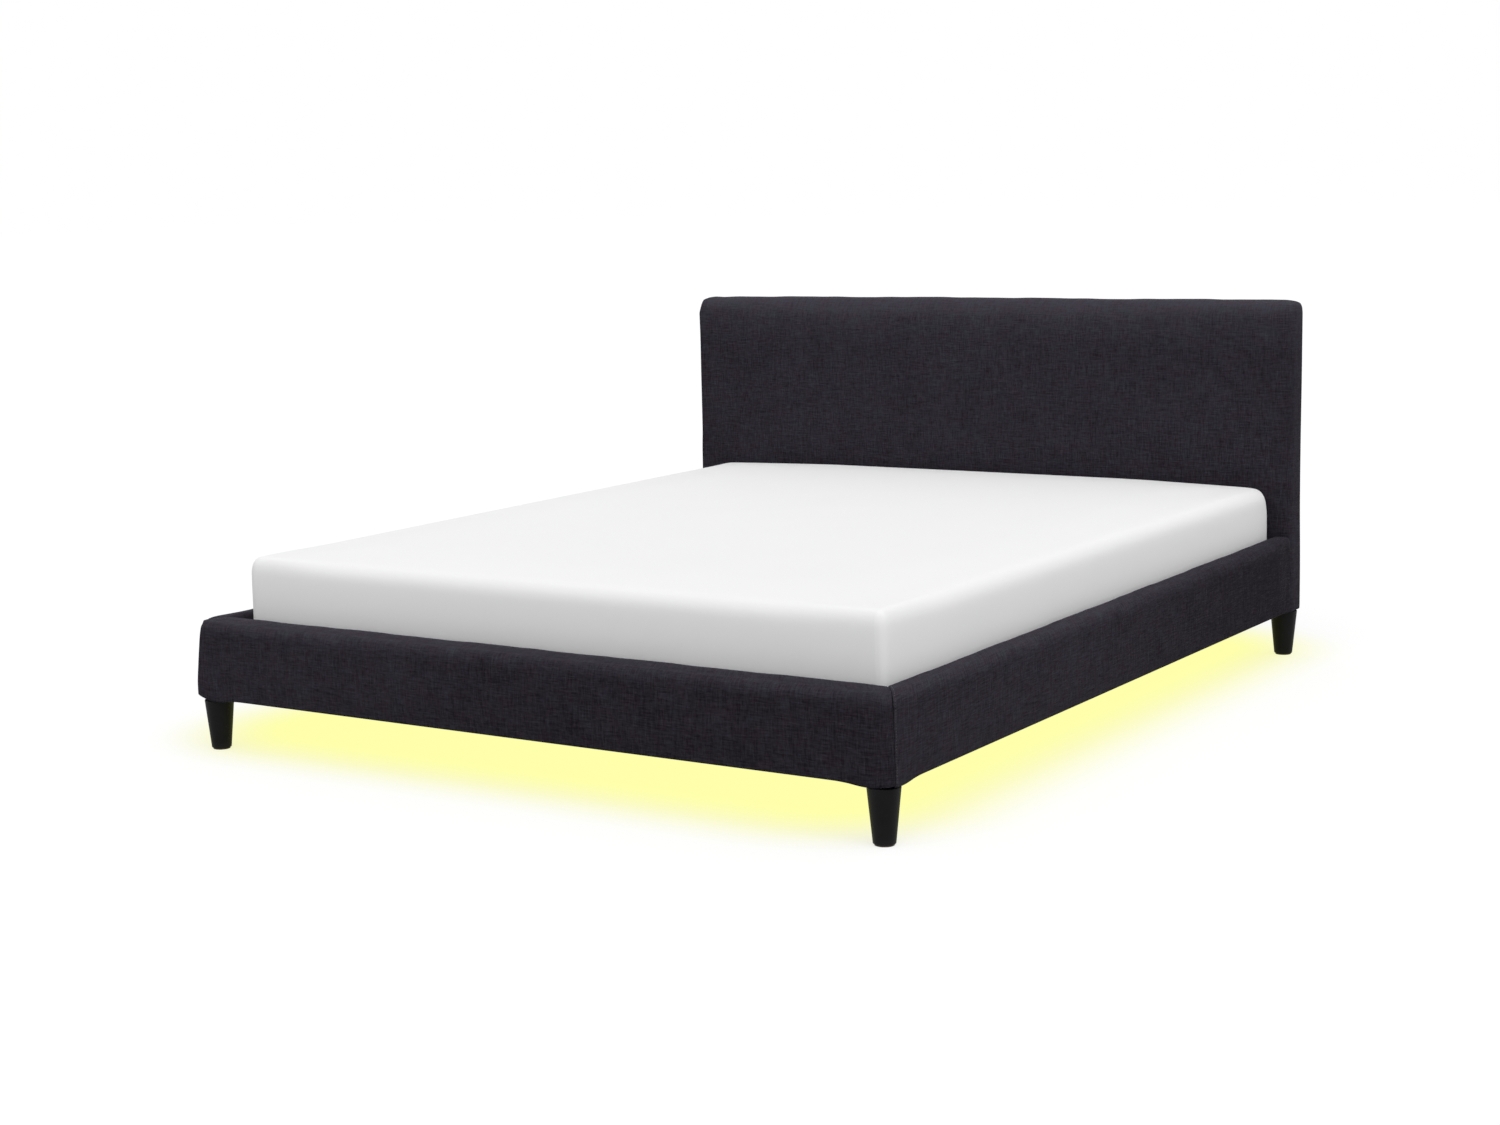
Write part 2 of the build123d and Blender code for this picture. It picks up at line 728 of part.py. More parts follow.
def mattress_form(inset):
    """The closed soft block, drawn in by inset."""
    rings = mattress_rings(mattress_edge_radius - inset, mattress_thickness - 2 * inset)
    with BuildPart() as form:
        for z, drawn, full_share in rings:
            half_x = mattress_width / 2 - inset - drawn + mattress_side_fullness * full_share
            half_y = mattress_length / 2 - inset - drawn + mattress_end_fullness * full_share
            with BuildSketch(Plane((mattress_x, mattress_y, mattress_bottom + inset + z))):
                RectangleRounded(2 * half_x, 2 * half_y, mattress_corner_radius - inset)
        loft(ruled=True)
    return form.part


with BuildPart() as mattress_cover:
    add(mattress_form(0))
    add(mattress_form(mattress_cover_thickness), mode=Mode.SUBTRACT)
finish(mattress_cover.part, "mattress_cover")
finish(mattress_form(mattress_cover_thickness + fit_clearance), "mattress_core")
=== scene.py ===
# Double bed upholstered in dark woven fabric, with a plain white mattress and a yellow light underneath.
# Metres, in the CAD's own frame: X runs across the bed, +Y points to the head end and +Z up.
from math import pi, radians, tau

import bpy
import numpy as np
from mathutils import Matrix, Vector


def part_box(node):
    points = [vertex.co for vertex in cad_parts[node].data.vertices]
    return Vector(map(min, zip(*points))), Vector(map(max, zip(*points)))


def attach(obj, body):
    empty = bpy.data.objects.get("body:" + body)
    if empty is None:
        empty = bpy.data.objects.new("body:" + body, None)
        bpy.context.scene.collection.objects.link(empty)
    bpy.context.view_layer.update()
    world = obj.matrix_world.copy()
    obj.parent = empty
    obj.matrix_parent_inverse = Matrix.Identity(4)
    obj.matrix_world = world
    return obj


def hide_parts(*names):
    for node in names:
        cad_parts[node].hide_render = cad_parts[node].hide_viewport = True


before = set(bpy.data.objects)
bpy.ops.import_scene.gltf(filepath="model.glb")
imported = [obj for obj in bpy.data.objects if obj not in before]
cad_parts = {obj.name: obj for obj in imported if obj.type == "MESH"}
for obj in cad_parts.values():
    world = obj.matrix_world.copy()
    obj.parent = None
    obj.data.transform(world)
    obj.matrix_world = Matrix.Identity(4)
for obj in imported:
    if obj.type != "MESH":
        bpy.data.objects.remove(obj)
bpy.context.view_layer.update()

# Camera: a long lens a little above the mattress, off the right-hand foot corner, as in the photograph.
# Its place comes from fitting the bed's straight edges in a picture of 1500 x 1125 pixels, whose lens axis
# is left of the middle, as in a cropped picture.
picture_width = 1500
lens_in_pixels = 2488
axis_left = 135
camera_place = (3.043, -5.012, 1.241)
camera_turn = radians(35.159)
camera_dip = radians(8.755)
camera_roll = radians(1.633)
film_width = 36


def in_scene(name, data):
    """A new object in the scene that carries a camera, a lamp or a mesh."""
    made = bpy.data.objects.new(name, data)
    bpy.context.scene.collection.objects.link(made)
    return made


camera = in_scene("camera", bpy.data.cameras.new("camera"))
camera.data.sensor_width = film_width
camera.data.lens = film_width * lens_in_pixels / picture_width
camera.data.shift_x = axis_left / picture_width
camera.data.clip_end = 200
camera.matrix_world = (
    Matrix.Translation(camera_place)
    @ Matrix.Rotation(camera_turn, 4, "Z")
    @ Matrix.Rotation(pi / 2 - camera_dip, 4, "X")
    @ Matrix.Rotation(-camera_roll, 4, "Z")
)
bpy.context.scene.camera = camera
bpy.context.scene.view_settings.view_transform = "Standard"

# Studio: a white floor that keeps the bed's shadow and shows the light's yellow glow, painted on in its
# finish as a soft rounded rectangle, a white surround, an even fill and one very broad lamp overhead, a
# little to the right of the foot end, at a level where colours render as they are written.
white = (1, 1, 1, 1)
fill_strength = 0.535
lamp_strength = 1.72
lamp_breadth = radians(75)
lamp_tilt = radians(25)
lamp_bearing = radians(50)
floor_size = 120
floor_seen = (0.32, 0.32, 0.32, 1)
floor_bounce = (0.55, 0.55, 0.55, 1)
floor_lift = 0.70
# The floor's painted glow: its colour, the middle and half-size of its full rectangle, and the distances over
# which it fades.
glow_seen = (1.0, 1.0, 0.409, 1)
glow_middle = (-0.084, 0.130)
glow_core = (0.644, 0.878)
glow_fade = (0.133, 0.470)
yarn_jump = 7.31


class Field:
    """A value that varies over a surface: one node's output, on which arithmetic adds Math nodes."""

    def __init__(self, tree, socket=None):
        self.tree = tree
        self.socket = socket

    def node(self, kind, settings=None, sockets=None, output=0):
        """Add a node: its settings are set first, then each of its sockets is given a value or a link."""
        made = self.tree.nodes.new(kind)
        for name, setting in (settings or {}).items():
            setattr(made, name, setting)
        for name, value in (sockets or {}).items():
            if isinstance(value, Field):
                self.tree.links.new(value.socket, made.inputs[name])
            else:
                made.inputs[name].default_value = value
        return Field(self.tree, made.outputs[output] if len(made.outputs) else None)

    def other(self, output):
        """Another output of the same node."""
        return Field(self.tree, self.socket.node.outputs[output])

    def part(self, axis):
        """This vector's part along one axis."""
        return self.node("ShaderNodeSeparateXYZ", {}, {"Vector": self}, output=axis)

    def math(self, operation, *values):
        """This value, and any further ones, through one Math node."""
        return self.node("ShaderNodeMath", {"operation": operation}, dict(enumerate((self, *values))))

    def between(self, first, second):
        """Colour that goes from first to second as this value goes from 0 to 1."""
        return self.node("ShaderNodeMix", {"data_type": "RGBA"}, {0: self, 6: first, 7: second}, output=2)

    def rise(self, start, end):
        """0 before start, 1 after end, and a smooth S between them."""
        return self.node(
            "ShaderNodeMapRange",
            {"interpolation_type": "SMOOTHSTEP"},
            {"Value": self, "From Min": start, "From Max": end},
        )

    def noise(self, size, detail=2.0):
        """Noise on these coordinates, centred on 0: its features have one size, or one for each axis."""
        scale = tuple(1 / part for part in np.broadcast_to(size, 3).tolist())
        spread = self.node("ShaderNodeMapping", {}, {"Vector": self, "Scale": scale})
        return self.node("ShaderNodeTexNoise", {}, {"Vector": spread, "Scale": 1.0, "Detail": detail}) - 0.5

    def yarns(self, across, along, pitch, length):
        """Yarns lying side by side: each strip one pitch wide has its own noise along its length."""
        strip = (self.part(across) * (1 / pitch)).math("FLOOR") * yarn_jump
        place = self.node("ShaderNodeCombineXYZ", {}, {"X": strip, "Y": self.part(along) * (1 / length)})
        return place.noise(1, 1.0)

    def bump(self, strength, distance):
        """Surface normal that this value, as a height, gives the shader."""
        return self.node("ShaderNodeBump", {}, {"Strength": strength, "Distance": distance, "Height": self})

    def __add__(self, other):
        return self.math("ADD", other)

    def __sub__(self, other):
        return self.math("SUBTRACT", other)

    def __mul__(self, other):
        return self.math("MULTIPLY", other)

    def __rsub__(self, other):
        return self * -1 + other


def seen(canvas):
    """1 for rays that show a surface, straight, in gloss or through glass, and 0 for light that bounces."""
    path = canvas.node("ShaderNodeLightPath", output="Is Camera Ray")
    return path + path.other("Is Glossy Ray") + path.other("Is Transmission Ray")


def new_finish(name):
    """A material with an empty canvas of nodes."""
    finish = bpy.data.materials.new(name)
    finish.use_nodes = True
    finish.node_tree.nodes.clear()
    return finish, Field(finish.node_tree)


def placed_finish(name):
    """A material with an empty canvas, and the Object coordinates on it."""
    finish, canvas = new_finish(name)
    return finish, canvas, canvas.node("ShaderNodeTexCoord", output="Object")


surround = bpy.data.worlds.new("surround")
surround.use_nodes = True
surround.node_tree.nodes.clear()
sky = Field(surround.node_tree)
fill = sky.node("ShaderNodeBackground", {}, {"Color": white, "Strength": fill_strength})
plain = sky.node("ShaderNodeBackground", {}, {"Color": white, "Strength": 1.0})
mixed = sky.node("ShaderNodeMixShader", {}, {0: seen(sky), 1: fill, 2: plain})
sky.node("ShaderNodeOutputWorld", {}, {"Surface": mixed})
bpy.context.scene.world = surround

lamp = in_scene("overhead_lamp", bpy.data.lights.new("overhead_lamp", "SUN"))
lamp.data.energy = lamp_strength
lamp.data.angle = lamp_breadth
lamp.matrix_world = Matrix.Rotation(lamp_bearing, 4, "Z") @ Matrix.Rotation(lamp_tilt, 4, "X")

floor_finish, canvas, place = placed_finish("white_floor")
dull = canvas.node("ShaderNodeBsdfDiffuse", {}, {"Color": floor_bounce})
pale = canvas.node("ShaderNodeBsdfDiffuse", {}, {"Color": floor_seen})
lift = canvas.node("ShaderNodeEmission", {}, {"Color": white, "Strength": floor_lift})
lifted = canvas.node("ShaderNodeAddShader", {}, {0: pale, 1: lift})
# The glow is painted light: the floor shows a yellow emission, full within a rounded rectangle round the bed
# and fading past it.
past_x, past_y = (
    ((place.part(axis) - middle).math("ABSOLUTE") - core).math("MAXIMUM", 0.0)
    for axis, middle, core in zip("XY", glow_middle, glow_core)
)
painted_glow = 1 - (past_x * past_x + past_y * past_y).math("SQRT").rise(*glow_fade)
yellow = canvas.node("ShaderNodeEmission", {}, {"Color": glow_seen, "Strength": 1.0})
glowing = canvas.node("ShaderNodeMixShader", {}, {0: painted_glow, 1: lifted, 2: yellow})
shown = canvas.node("ShaderNodeMixShader", {}, {0: seen(canvas), 1: dull, 2: glowing})
canvas.node("ShaderNodeOutputMaterial", {}, {"Surface": shown})

floor_mesh = bpy.data.meshes.new("floor")
floor_corners = np.array([(-1, -1, 0), (1, -1, 0), (1, 1, 0), (-1, 1, 0)]) * floor_size / 2
floor_mesh.from_pydata(floor_corners.tolist(), [], [(0, 1, 2, 3)])
floor_mesh.materials.append(floor_finish)
floor = in_scene("floor", floor_mesh)

# Footboard and side rails: boards wrapped in foam and dark slubbed fabric, pulled tight, rolled over the
# top and stapled underneath. The three covers are sewn together in a mitre at each foot corner, and the
# fabric's lower edge is drawn down in a hollow curve on to the top of each leg.
foot_low, foot_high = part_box("footboard_cover")
rail_low, rail_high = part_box("rail_right_cover")
leg_low, leg_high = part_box("leg_front_right")
half_width = foot_high.x
half_length = -foot_low.y
side_top = foot_high.z
foot_thickness = foot_high.y - foot_low.y
rail_thickness = rail_high.x - rail_low.x
seam_setback = rail_low.y - foot_low.y
leg_width = leg_high.x - leg_low.x
hem_drop = 0.0055
hem_run = 0.060
hem = foot_low.z + hem_drop
hem_radius = 0.004
upright_radius = 0.014
outer_roll = 0.014
inner_roll = 0.010
rail_rise = 0.012
corner_reach = 0.055
corner_heights = (0, 0.20, 0.55, 0.80, 0.90, 1)
corner_inward = (-0.0040, -0.0040, 0, 0.0034, 0.0054, 0.0085)
corner_slump = 0.005
corner_lift = 0.014
corner_lift_run = 0.026
slump_share = 0.7
seam_radius = 0.0022
seam_gap = 0.0002
roll_heights = (side_top - 0.045, side_top - 0.016)
roll_reach = (half_width - 0.045, half_width - 0.016)
top_waver = 0.0005
waver_share = 0.6
lump_size = 0.0009
lump_rise = (side_top - 0.060, side_top - 0.020)
lump_fall = (side_top - 0.002, side_top - 0.016)
lump_depth = (0.030, 0.008)
side_step = 0.014
edge_shares = np.array([0, 0.28, 0.62, 1])
side_swell = 0.0035
held_end = (0.012, 0.080)
held_inside = (0.012, 0.030)
held_hem = (hem + 0.008, hem + 0.050)
held_looseness = 0.02
swell_frames = 20
swell_pressure = 4.0
linen_dark = (0.0125, 0.0100, 0.0142, 1)
linen_purple = (0.0590, 0.0460, 0.0620, 1)
linen_blue = (0.0510, 0.0530, 0.0660, 1)
slub_width = 0.0021
slub_length = 0.045
yarn_width = 0.0011
yarn_length = 0.016
hue_patch = 0.035
shade_patch = 0.12
# Painted highlight over the side rolls: how far below the top it fades out, and where it is full.
roll_highlight_fade = 0.024
roll_highlight_full = 0.4 * roll_highlight_fade
# Painted shade: the footboard a little darker overall and more so towards its right, the rails darker towards
# the head end.
foot_painted_shade = 0.1
foot_painted_shade_right = 0.5
foot_painted_shade_run = (-0.55, 0.15)
rail_painted_shade_head = 1.4
rail_painted_shade_run = (-0.35, 1.05)
left_rail_cut = 3


def closed(finish, canvas, sockets):
    """The finish, with its canvas closed by one Principled shader that takes these sockets."""
    shader = canvas.node("ShaderNodeBsdfPrincipled", {}, sockets)
    canvas.node("ShaderNodeOutputMaterial", {}, {"Surface": shader})
    return finish


def dark_linen():
    """Plain weave on the cloth's own coordinates: yarns both ways, some of them thick slubs, that differ in
    tone along their length, in faint patches of purple and of blue-grey."""
    finish, canvas = new_finish("dark_linen")
    cloth = canvas.node("ShaderNodeUVMap", {"uv_map": "cloth"})
    slubs, yarns = (
        cloth.yarns("X", "Y", width, length) + cloth.yarns("Y", "X", width, length)
        for width, length in ((slub_width, slub_length), (yarn_width, yarn_length))
    )
    patches = cloth.noise((shade_patch, shade_patch, 1), 1.0)
    hue = cloth.noise((hue_patch, hue_patch, 1), 3.0) + slubs * 0.5
    light = hue.rise(-0.25, 0.25).between(linen_purple, linen_blue)
    # Painted highlight over the rolls and the headboard's top, and painted shade on the footboard and the
    # rails' head ends, shift the yarns' tone.
    painted_shading = canvas.node("ShaderNodeAttribute", {"attribute_name": "painted_shading"}, output="Fac")
    tone = slubs * 0.70 + yarns * 0.80 + patches * 0.20 + painted_shading * 0.22 + 0.40
    over, under = ((cloth.part(axis) * (pi / yarn_width)).math("SINE") for axis in "XY")
    height = over * under * 0.35 + slubs + yarns * 0.8
    sockets = {
        "Base Color": tone.between(linen_dark, light),
        "Roughness": yarns * 0.3 + 0.86,
        "Specular IOR Level": 0.02,
        "Sheen Weight": 0.15,
        "Sheen Roughness": 0.18,
        "Sheen Tint": (0.90, 0.86, 1.0, 1),
        "Normal": height.bump(0.5, 0.0004),
    }
    return closed(finish, canvas, sockets)


def ease(value, start, end):
    """0 before start, 1 past end, and a smooth S between them; start may be the larger."""
    share = np.clip((value - start) / (end - start), 0, 1)
    return share * share * (3 - 2 * share)


def edge_lines(*radii):
    """Distances from an edge at which grid lines follow rounded edges of these radii."""
    return np.unique(np.concatenate([edge_shares * radius for radius in radii]))


def grid_lines(low, high, step, low_edge, high_edge, extra=()):
    """Places of grid lines from low to high: at the given distances from each edge, evenly spaced between
    them, and at any extra places."""
    start = low + low_edge[-1]
    end = high - high_edge[-1]
    middle = np.linspace(start, end, max(2, round((end - start) / step) + 1))
    return np.unique(np.concatenate([low + low_edge[:-1], middle, high - high_edge[:-1], extra]))


def box_grid(*lines):
    """Surface of a box on three sets of grid lines, along its length, its depth and its height.
    Returns its points, its quads with their corners in order round the outward normal, and the cloth
    position of each corner: the front laid flat, with the top, bottom, back and ends hinged on to it."""
    lines = [np.asarray(places, float) for places in lines]
    quads, cloth = [], []
    low = np.array([places[0] for places in lines])
    high = np.array([places[-1] for places in lines])
    for axis in range(3):
        across = (axis + 1) % 3
        up = (axis + 2) % 3
        for far in (False, True):
            grid = np.zeros((len(lines[across]), len(lines[up]), 3), int)
            grid[..., axis] = (len(lines[axis]) - 1) * far
            grid[..., across] = np.arange(len(lines[across]))[:, None]
            grid[..., up] = np.arange(len(lines[up]))
            ring = np.stack([grid[:-1, :-1], grid[1:, :-1], grid[1:, 1:], grid[:-1, 1:]], axis=2)
            ring = ring.reshape(-1, 4, 3)
            ring = ring if far else ring[:, ::-1]
            s, t, z = (lines[k][ring[..., k]] for k in range(3))
            if axis == 0:
                unfolded = [(high[0] + t) if far else (low[0] - t), z]
            elif axis == 1:
                unfolded = [s, (2 * high[2] + high[1] - low[1] - z) if far else z]
            else:
                unfolded = [s, (high[2] + t - low[1]) if far else (low[2] - t + low[1])]
            quads.append(ring)
            cloth.append(np.stack(unfolded, axis=-1))
    quads = np.concatenate(quads)
    counts = [len(places) for places in lines]
    codes, index = np.unique(np.ravel_multi_index(quads.reshape(-1, 3).T, counts), return_inverse=True)
    used = np.unravel_index(codes, counts)
    points = np.stack([lines[k][used[k]] for k in range(3)], axis=1)
    return points, index.reshape(-1, 4), np.concatenate(cloth)


def rounded(points, low, high, low_radii, high_radii):
    """Points of a box's surface moved on to its rounded form: each goes from the nearest point of the core
    that the radii leave, in its own direction, to an ellipsoid of those radii."""
    core = np.clip(points, low + low_radii, high - high_radii)
    radii = np.where(points < core, low_radii, high_radii)
    way = (points - core) / radii
    return core + radii * way / np.linalg.norm(way, axis=1, keepdims=True)


def hem_line(x, y):
    """Height of the fabric's lower edge: level, then down a circular arc that drops by hem_drop over
    hem_run, then level over the leg. Where both directions have a height, the upper one holds."""
    radius = (hem_run**2 + hem_drop**2) / (2 * hem_drop)
    heights = []
    for place, half in ((x, half_width), (y, half_length)):
        past = np.clip(np.abs(place) - (half - leg_width - hem_run), 0, hem_run)
        heights.append(hem - radius + np.sqrt(radius**2 - past**2))
    return np.maximum(*heights)


def waver(places, size, phase):
    """Slow unevenness of hand-pulled fabric along a length: three sine waves of unrelated lengths."""
    waves = ((0.37, 1.0), (0.151, 0.6), (0.083, 0.35))
    return size * sum(share * np.sin(tau * places / length + phase / length) for length, share in waves)


def lumps(places, z, t, phase):
    """How far the wadding stands out under the roll's lower edge: uneven along the length, and fading above,
    below and into the depth."""
    band = ease(z, *lump_rise) * ease(z, *lump_fall)
    return waver(places, lump_size, phase) * band * ease(t, *lump_depth)


def spots(x, y, z):
    """Points from their three coordinates, any of which may be one number for all."""
    return np.stack(np.broadcast_arrays(x, y, z), axis=-1)


def smooth_piece(name, points, faces, finish):
    """An object of these points and faces, shaded smooth, in one finish."""
    mesh = bpy.data.meshes.new(name)
    mesh.from_pydata(points.tolist(), [], faces)
    mesh.materials.append(finish)
    mesh.shade_smooth()
    return in_scene(name, mesh)


def cover_mesh(name, moved, quads, cloth, painted_tone, finish):
    """A closed cover with its cloth coordinates, and each point's painted tone: paler for a painted
    highlight, darker for painted shade.
    """
    piece = smooth_piece(name, moved, quads.tolist(), finish)
    piece.data.uv_layers.new(name="cloth").uv.foreach_set("vector", cloth.astype(np.float32).ravel())
    painted_shading = piece.data.attributes.new("painted_shading", "FLOAT", "POINT")
    painted_shading.data.foreach_set("value", painted_tone.astype(np.float32))
    return piece


def swell(piece, loose, cap):
    """Blow a cover out against its seams and staples: cloth under pressure, with no gravity. Each point
    keeps the share loose of its movement m, shortened to cap times the hyperbolic tangent of m / cap."""
    scene = bpy.context.scene
    held = piece.vertex_groups.new(name="held")
    held.add(np.flatnonzero(loose < held_looseness).tolist(), 1.0, "REPLACE")
    cloth = piece.modifiers.new("swell", "CLOTH")
    cloth.settings.vertex_group_mass = held.name
    cloth.settings.quality = 5
    cloth.settings.mass = 0.3
    cloth.settings.tension_stiffness = 40
    cloth.settings.compression_stiffness = 40
    cloth.settings.shear_stiffness = 15
    cloth.settings.bending_stiffness = 1.5
    cloth.settings.use_pressure = True
    cloth.settings.uniform_pressure_force = swell_pressure
    cloth.settings.effector_weights.gravity = 0
    cloth.point_cache.frame_start = 1
    cloth.point_cache.frame_end = swell_frames
    for number in range(1, swell_frames + 1):
        scene.frame_set(number)
    count = len(piece.data.vertices)
    before, after = np.empty(count * 3), np.empty(count * 3)
    piece.data.vertices.foreach_get("co", before)
    blown = piece.evaluated_get(bpy.context.evaluated_depsgraph_get())
    blown.data.vertices.foreach_get("co", after)
    piece.modifiers.remove(cloth)
    piece.vertex_groups.remove(held)
    scene.frame_set(1)
    move = (after - before).reshape(-1, 3) * loose[:, None]
    length = np.maximum(np.linalg.norm(move, axis=1, keepdims=True), 1e-9)
    move *= cap * np.tanh(length / cap) / length
    piece.data.vertices.foreach_set("co", before + move.ravel())


def smoothed(piece):
    """Finish a cover with one subdivision, the same in the viewport as in the render."""
    surface = piece.modifiers.new("smooth", "SUBSURF")
    surface.levels = 1
    surface.render_levels = 1
    return piece


def side_box(points, span, thickness, end, rolled):
    """Points on a padded side's rounded box: radius end at both ends of its span, an outer edge that goes
    from hem_radius to outer_roll where rolled is 1, and a roll over the top and down the inner edge."""
    t, z = points[:, 1:].T
    front = hem_radius + (outer_roll - hem_radius) * rolled
    back = hem_radius + (inner_roll - hem_radius) * ease(z, *roll_heights)
    top = seam_radius + (outer_roll - seam_radius) * ease(t, outer_roll, 0.5 * outer_roll)
    top += (inner_roll - seam_radius) * ease(t, thickness - inner_roll, thickness - inner_roll / 2)
    under = np.full_like(t, hem_radius)
    low, high = np.array([(span[0], 0, hem), (span[1], thickness, side_top)])
    return rounded(points, low, high, spots(end, front, under), spots(end, back, top))


def footboard_form(points):
    """Footboard in place, from its box of length, depth and height: rounded edges, ends that run in along
    the mitre from the seam to the inner corner, and the drawn-down hem."""
    s, t, z = points.T
    rolled = np.maximum(ease(z, *roll_heights), ease(np.abs(s), *roll_reach))
    end = seam_radius + (upright_radius - seam_radius) * ease(t, upright_radius, 0.6 * upright_radius)
    form = side_box(points, (-half_width, half_width), foot_thickness, end, rolled)
    past = form[:, 1] - seam_setback
    hinge = np.where(np.abs(past) < seam_radius, (past + seam_radius) ** 2 / (4 * seam_radius), past)
    inward = rail_thickness / (foot_thickness - seam_setback) * np.where(past < -seam_radius, 0, hinge)
    x = form[:, 0] * (1 - (inward + seam_gap) / half_width)
    y = form[:, 1] - half_length - lumps(x, z, t, 1.3)
    return hemmed(x, y, form[:, 2], waver(x, top_waver, 1.0))


def rail_form(points):
    """Right rail in place, from its box of length, depth and height: rounded edges, a foot end that runs
    back along the mitre, a top that rises by rail_rise to the head end, and the drawn-down hem."""
    s, t, z = points.T
    rolled = ease(z, *roll_heights)
    form = side_box(points, (rail_low.y, rail_high.y), rail_thickness, seam_radius, rolled)
    slope = (foot_thickness - seam_setback) / rail_thickness
    toward_foot = (rail_high.y - form[:, 0]) / (rail_high.y - rail_low.y)
    x = half_width - form[:, 1] + lumps(s, z, t, 0.4)
    y = form[:, 0] + (slope * form[:, 1] + seam_gap) * toward_foot
    raised = form[:, 2] + rail_rise * (1 - toward_foot) * ease(form[:, 2], hem, side_top)
    return hemmed(x, y, raised, waver(y, top_waver, 2.0))


def hemmed(x, y, z, unevenness):
    """Points with their lower part drawn down to the hem line and their top left a little uneven. At the
    foot corners the wadding is thin above and full below, and the hem turns up past the leg."""
    share = np.clip((z - hem) / (side_top - hem), 0, 1)
    drawn = z + (hem_line(x, y) - hem) * (1 - share) + unevenness * ease(share, waver_share, 1)
    out_x = half_width - np.abs(x)
    out_y = half_length + y
    near = ease(out_x, corner_reach, 0) * ease(out_y, corner_reach, 0)
    inward = near * np.interp(share, corner_heights, corner_inward)
    past_leg = np.clip(1 - (out_x + out_y) / (corner_lift_run * 2**0.5), 0, 1)
    slump = corner_slump * near * ease(share, slump_share, 1)
    turned_up = corner_lift * past_leg * (1 - share) ** 2
    return spots(x - np.sign(x) * inward, y + inward, drawn - slump + turned_up)


def side_loose(points, thickness, low_end, high_end):
    """How freely each point of a padded side swells: not at the hem, the seams, the ends or the inner
    face, and fully over the rest."""
    s, t, z = points.T
    ends = ease(np.minimum(s - low_end, high_end - s), *held_end)
    return ends * ease(t, thickness - held_inside[0], thickness - held_inside[1]) * ease(z, *held_hem)


def side_painted_highlight(points):
    """Painted highlight on a padded side: full over the roll, fading out just below it."""
    return ease(points[:, 2], side_top - roll_highlight_fade, side_top - roll_highlight_full)


linen = dark_linen()
depth_edges = [edge_lines(outer_roll, hem_radius), edge_lines(inner_roll, hem_radius)]
height_edges = [edge_lines(hem_radius), edge_lines(outer_roll, seam_radius)]
heights = grid_lines(hem, side_top, side_step, *height_edges)

seam_lines = edge_lines(upright_radius, seam_radius)
foot_points, foot_quads, foot_cloth = box_grid(
    grid_lines(-half_width, half_width, side_step, seam_lines, seam_lines),
    grid_lines(0, foot_thickness, side_step, *depth_edges, extra=[seam_setback + seam_radius]),
    heights,
)
# Footboard tone: the roll's painted highlight, less painted shade that grows towards the right.
foot_painted_tone = side_painted_highlight(foot_points) - foot_painted_shade - foot_painted_shade_right * ease(foot_points[:, 0], *foot_painted_shade_run)
footboard = cover_mesh(
    "footboard_fabric", footboard_form(foot_points), foot_quads, foot_cloth, foot_painted_tone, linen
)
swell(footboard, side_loose(foot_points, foot_thickness, -half_width, half_width), side_swell)

foot_end_lines = edge_lines(seam_radius, upright_radius)
rail_points, rail_quads, rail_cloth = box_grid(
    grid_lines(rail_low.y, rail_high.y, side_step, foot_end_lines, edge_lines(seam_radius)),
    grid_lines(0, rail_thickness, side_step, *depth_edges),
    heights,
)
rail_loose = side_loose(rail_points, rail_thickness, rail_low.y, rail_high.y)
# Rail tone: the roll's painted highlight, less painted shade that grows towards the head end.
rail_painted_tone = side_painted_highlight(rail_points) - rail_painted_shade_head * ease(rail_points[:, 0], *rail_painted_shade_run)
right_places = rail_form(rail_points)
left_places = right_places * (-1, 1, 1)
left_quads = rail_quads[:, ::-1]
left_cloth = rail_cloth[:, ::-1] + left_rail_cut
rails = {
    "right": cover_mesh("rail_right_fabric", right_places, rail_quads, rail_cloth, rail_painted_tone, linen),
    "left": cover_mesh("rail_left_fabric", left_places, left_quads, left_cloth, rail_painted_tone, linen),
}
for side, rail in rails.items():
    swell(rail, rail_loose, side_swell)
    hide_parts(f"rail_{side}_cover", f"rail_{side}_foam")
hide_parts("footboard_cover", "footboard_foam")
for cover in (footboard, *rails.values()):
    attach(smoothed(cover), "frame")

# Headboard: one tall padded panel in the same fabric, which rolls softly over the top, is drawn in a little
# at its sides and turns in round the back, where the staples hold it.
head_low, head_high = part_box("headboard_cover")
back_cloth_low, back_cloth_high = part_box("headboard_back_cloth")
wood_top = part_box("headboard_top_batten")[1].z
head_thickness = head_high.y - head_low.y
head_top = head_high.z
head_front_roll = 0.044
head_fall = 0.078
head_back_roll = 0.016
head_corner = 0.022
head_side = 0.014
head_roll_heights = (head_top - 0.14, head_top - head_fall)
head_corner_heights = (head_top - 0.050, head_top - 0.015)
head_corner_reach = (half_width - 0.055, half_width - 0.020)
head_tight_reach = (half_width - 0.04, half_width - 0.45)
back_corner_share = 0.4
head_tuck = 0.003
head_waist = 0.003
waist_shares = (0.05, 0.35)
waist_full_share = 0.72
head_waver = 0.0006
head_waver_share = 0.8
head_lean = 0.0025
head_lean_run = (-0.10, 0.40)
head_right_slump = 0.0075
right_slump_run = (half_width - 0.055, half_width + 0.01)
head_left_slump = 0.0018
left_slump_run = (half_width - 0.11, half_width - 0.04)
head_step = 0.0145
mattress_hides = 0.46
tuck_heights = (mattress_hides, mattress_hides + 0.06)
recess = 0.0017
recess_edge = 0.0015
head_swell = 0.0045
head_loose_shares = (0.75, 0.35)
head_loose_heights = (mattress_hides, mattress_hides + 0.10)
head_loose_end = (-0.01, 0.09)
# Painted highlight on the headboard: a broad one over its upper part and a stronger one at the crest.
head_highlight = 0.9
head_highlight_heights = (head_top - 0.15, head_top - 0.03)
crest_highlight = 1.2
crest_heights = (head_top - 0.05, head_top)
headboard_cut = 7


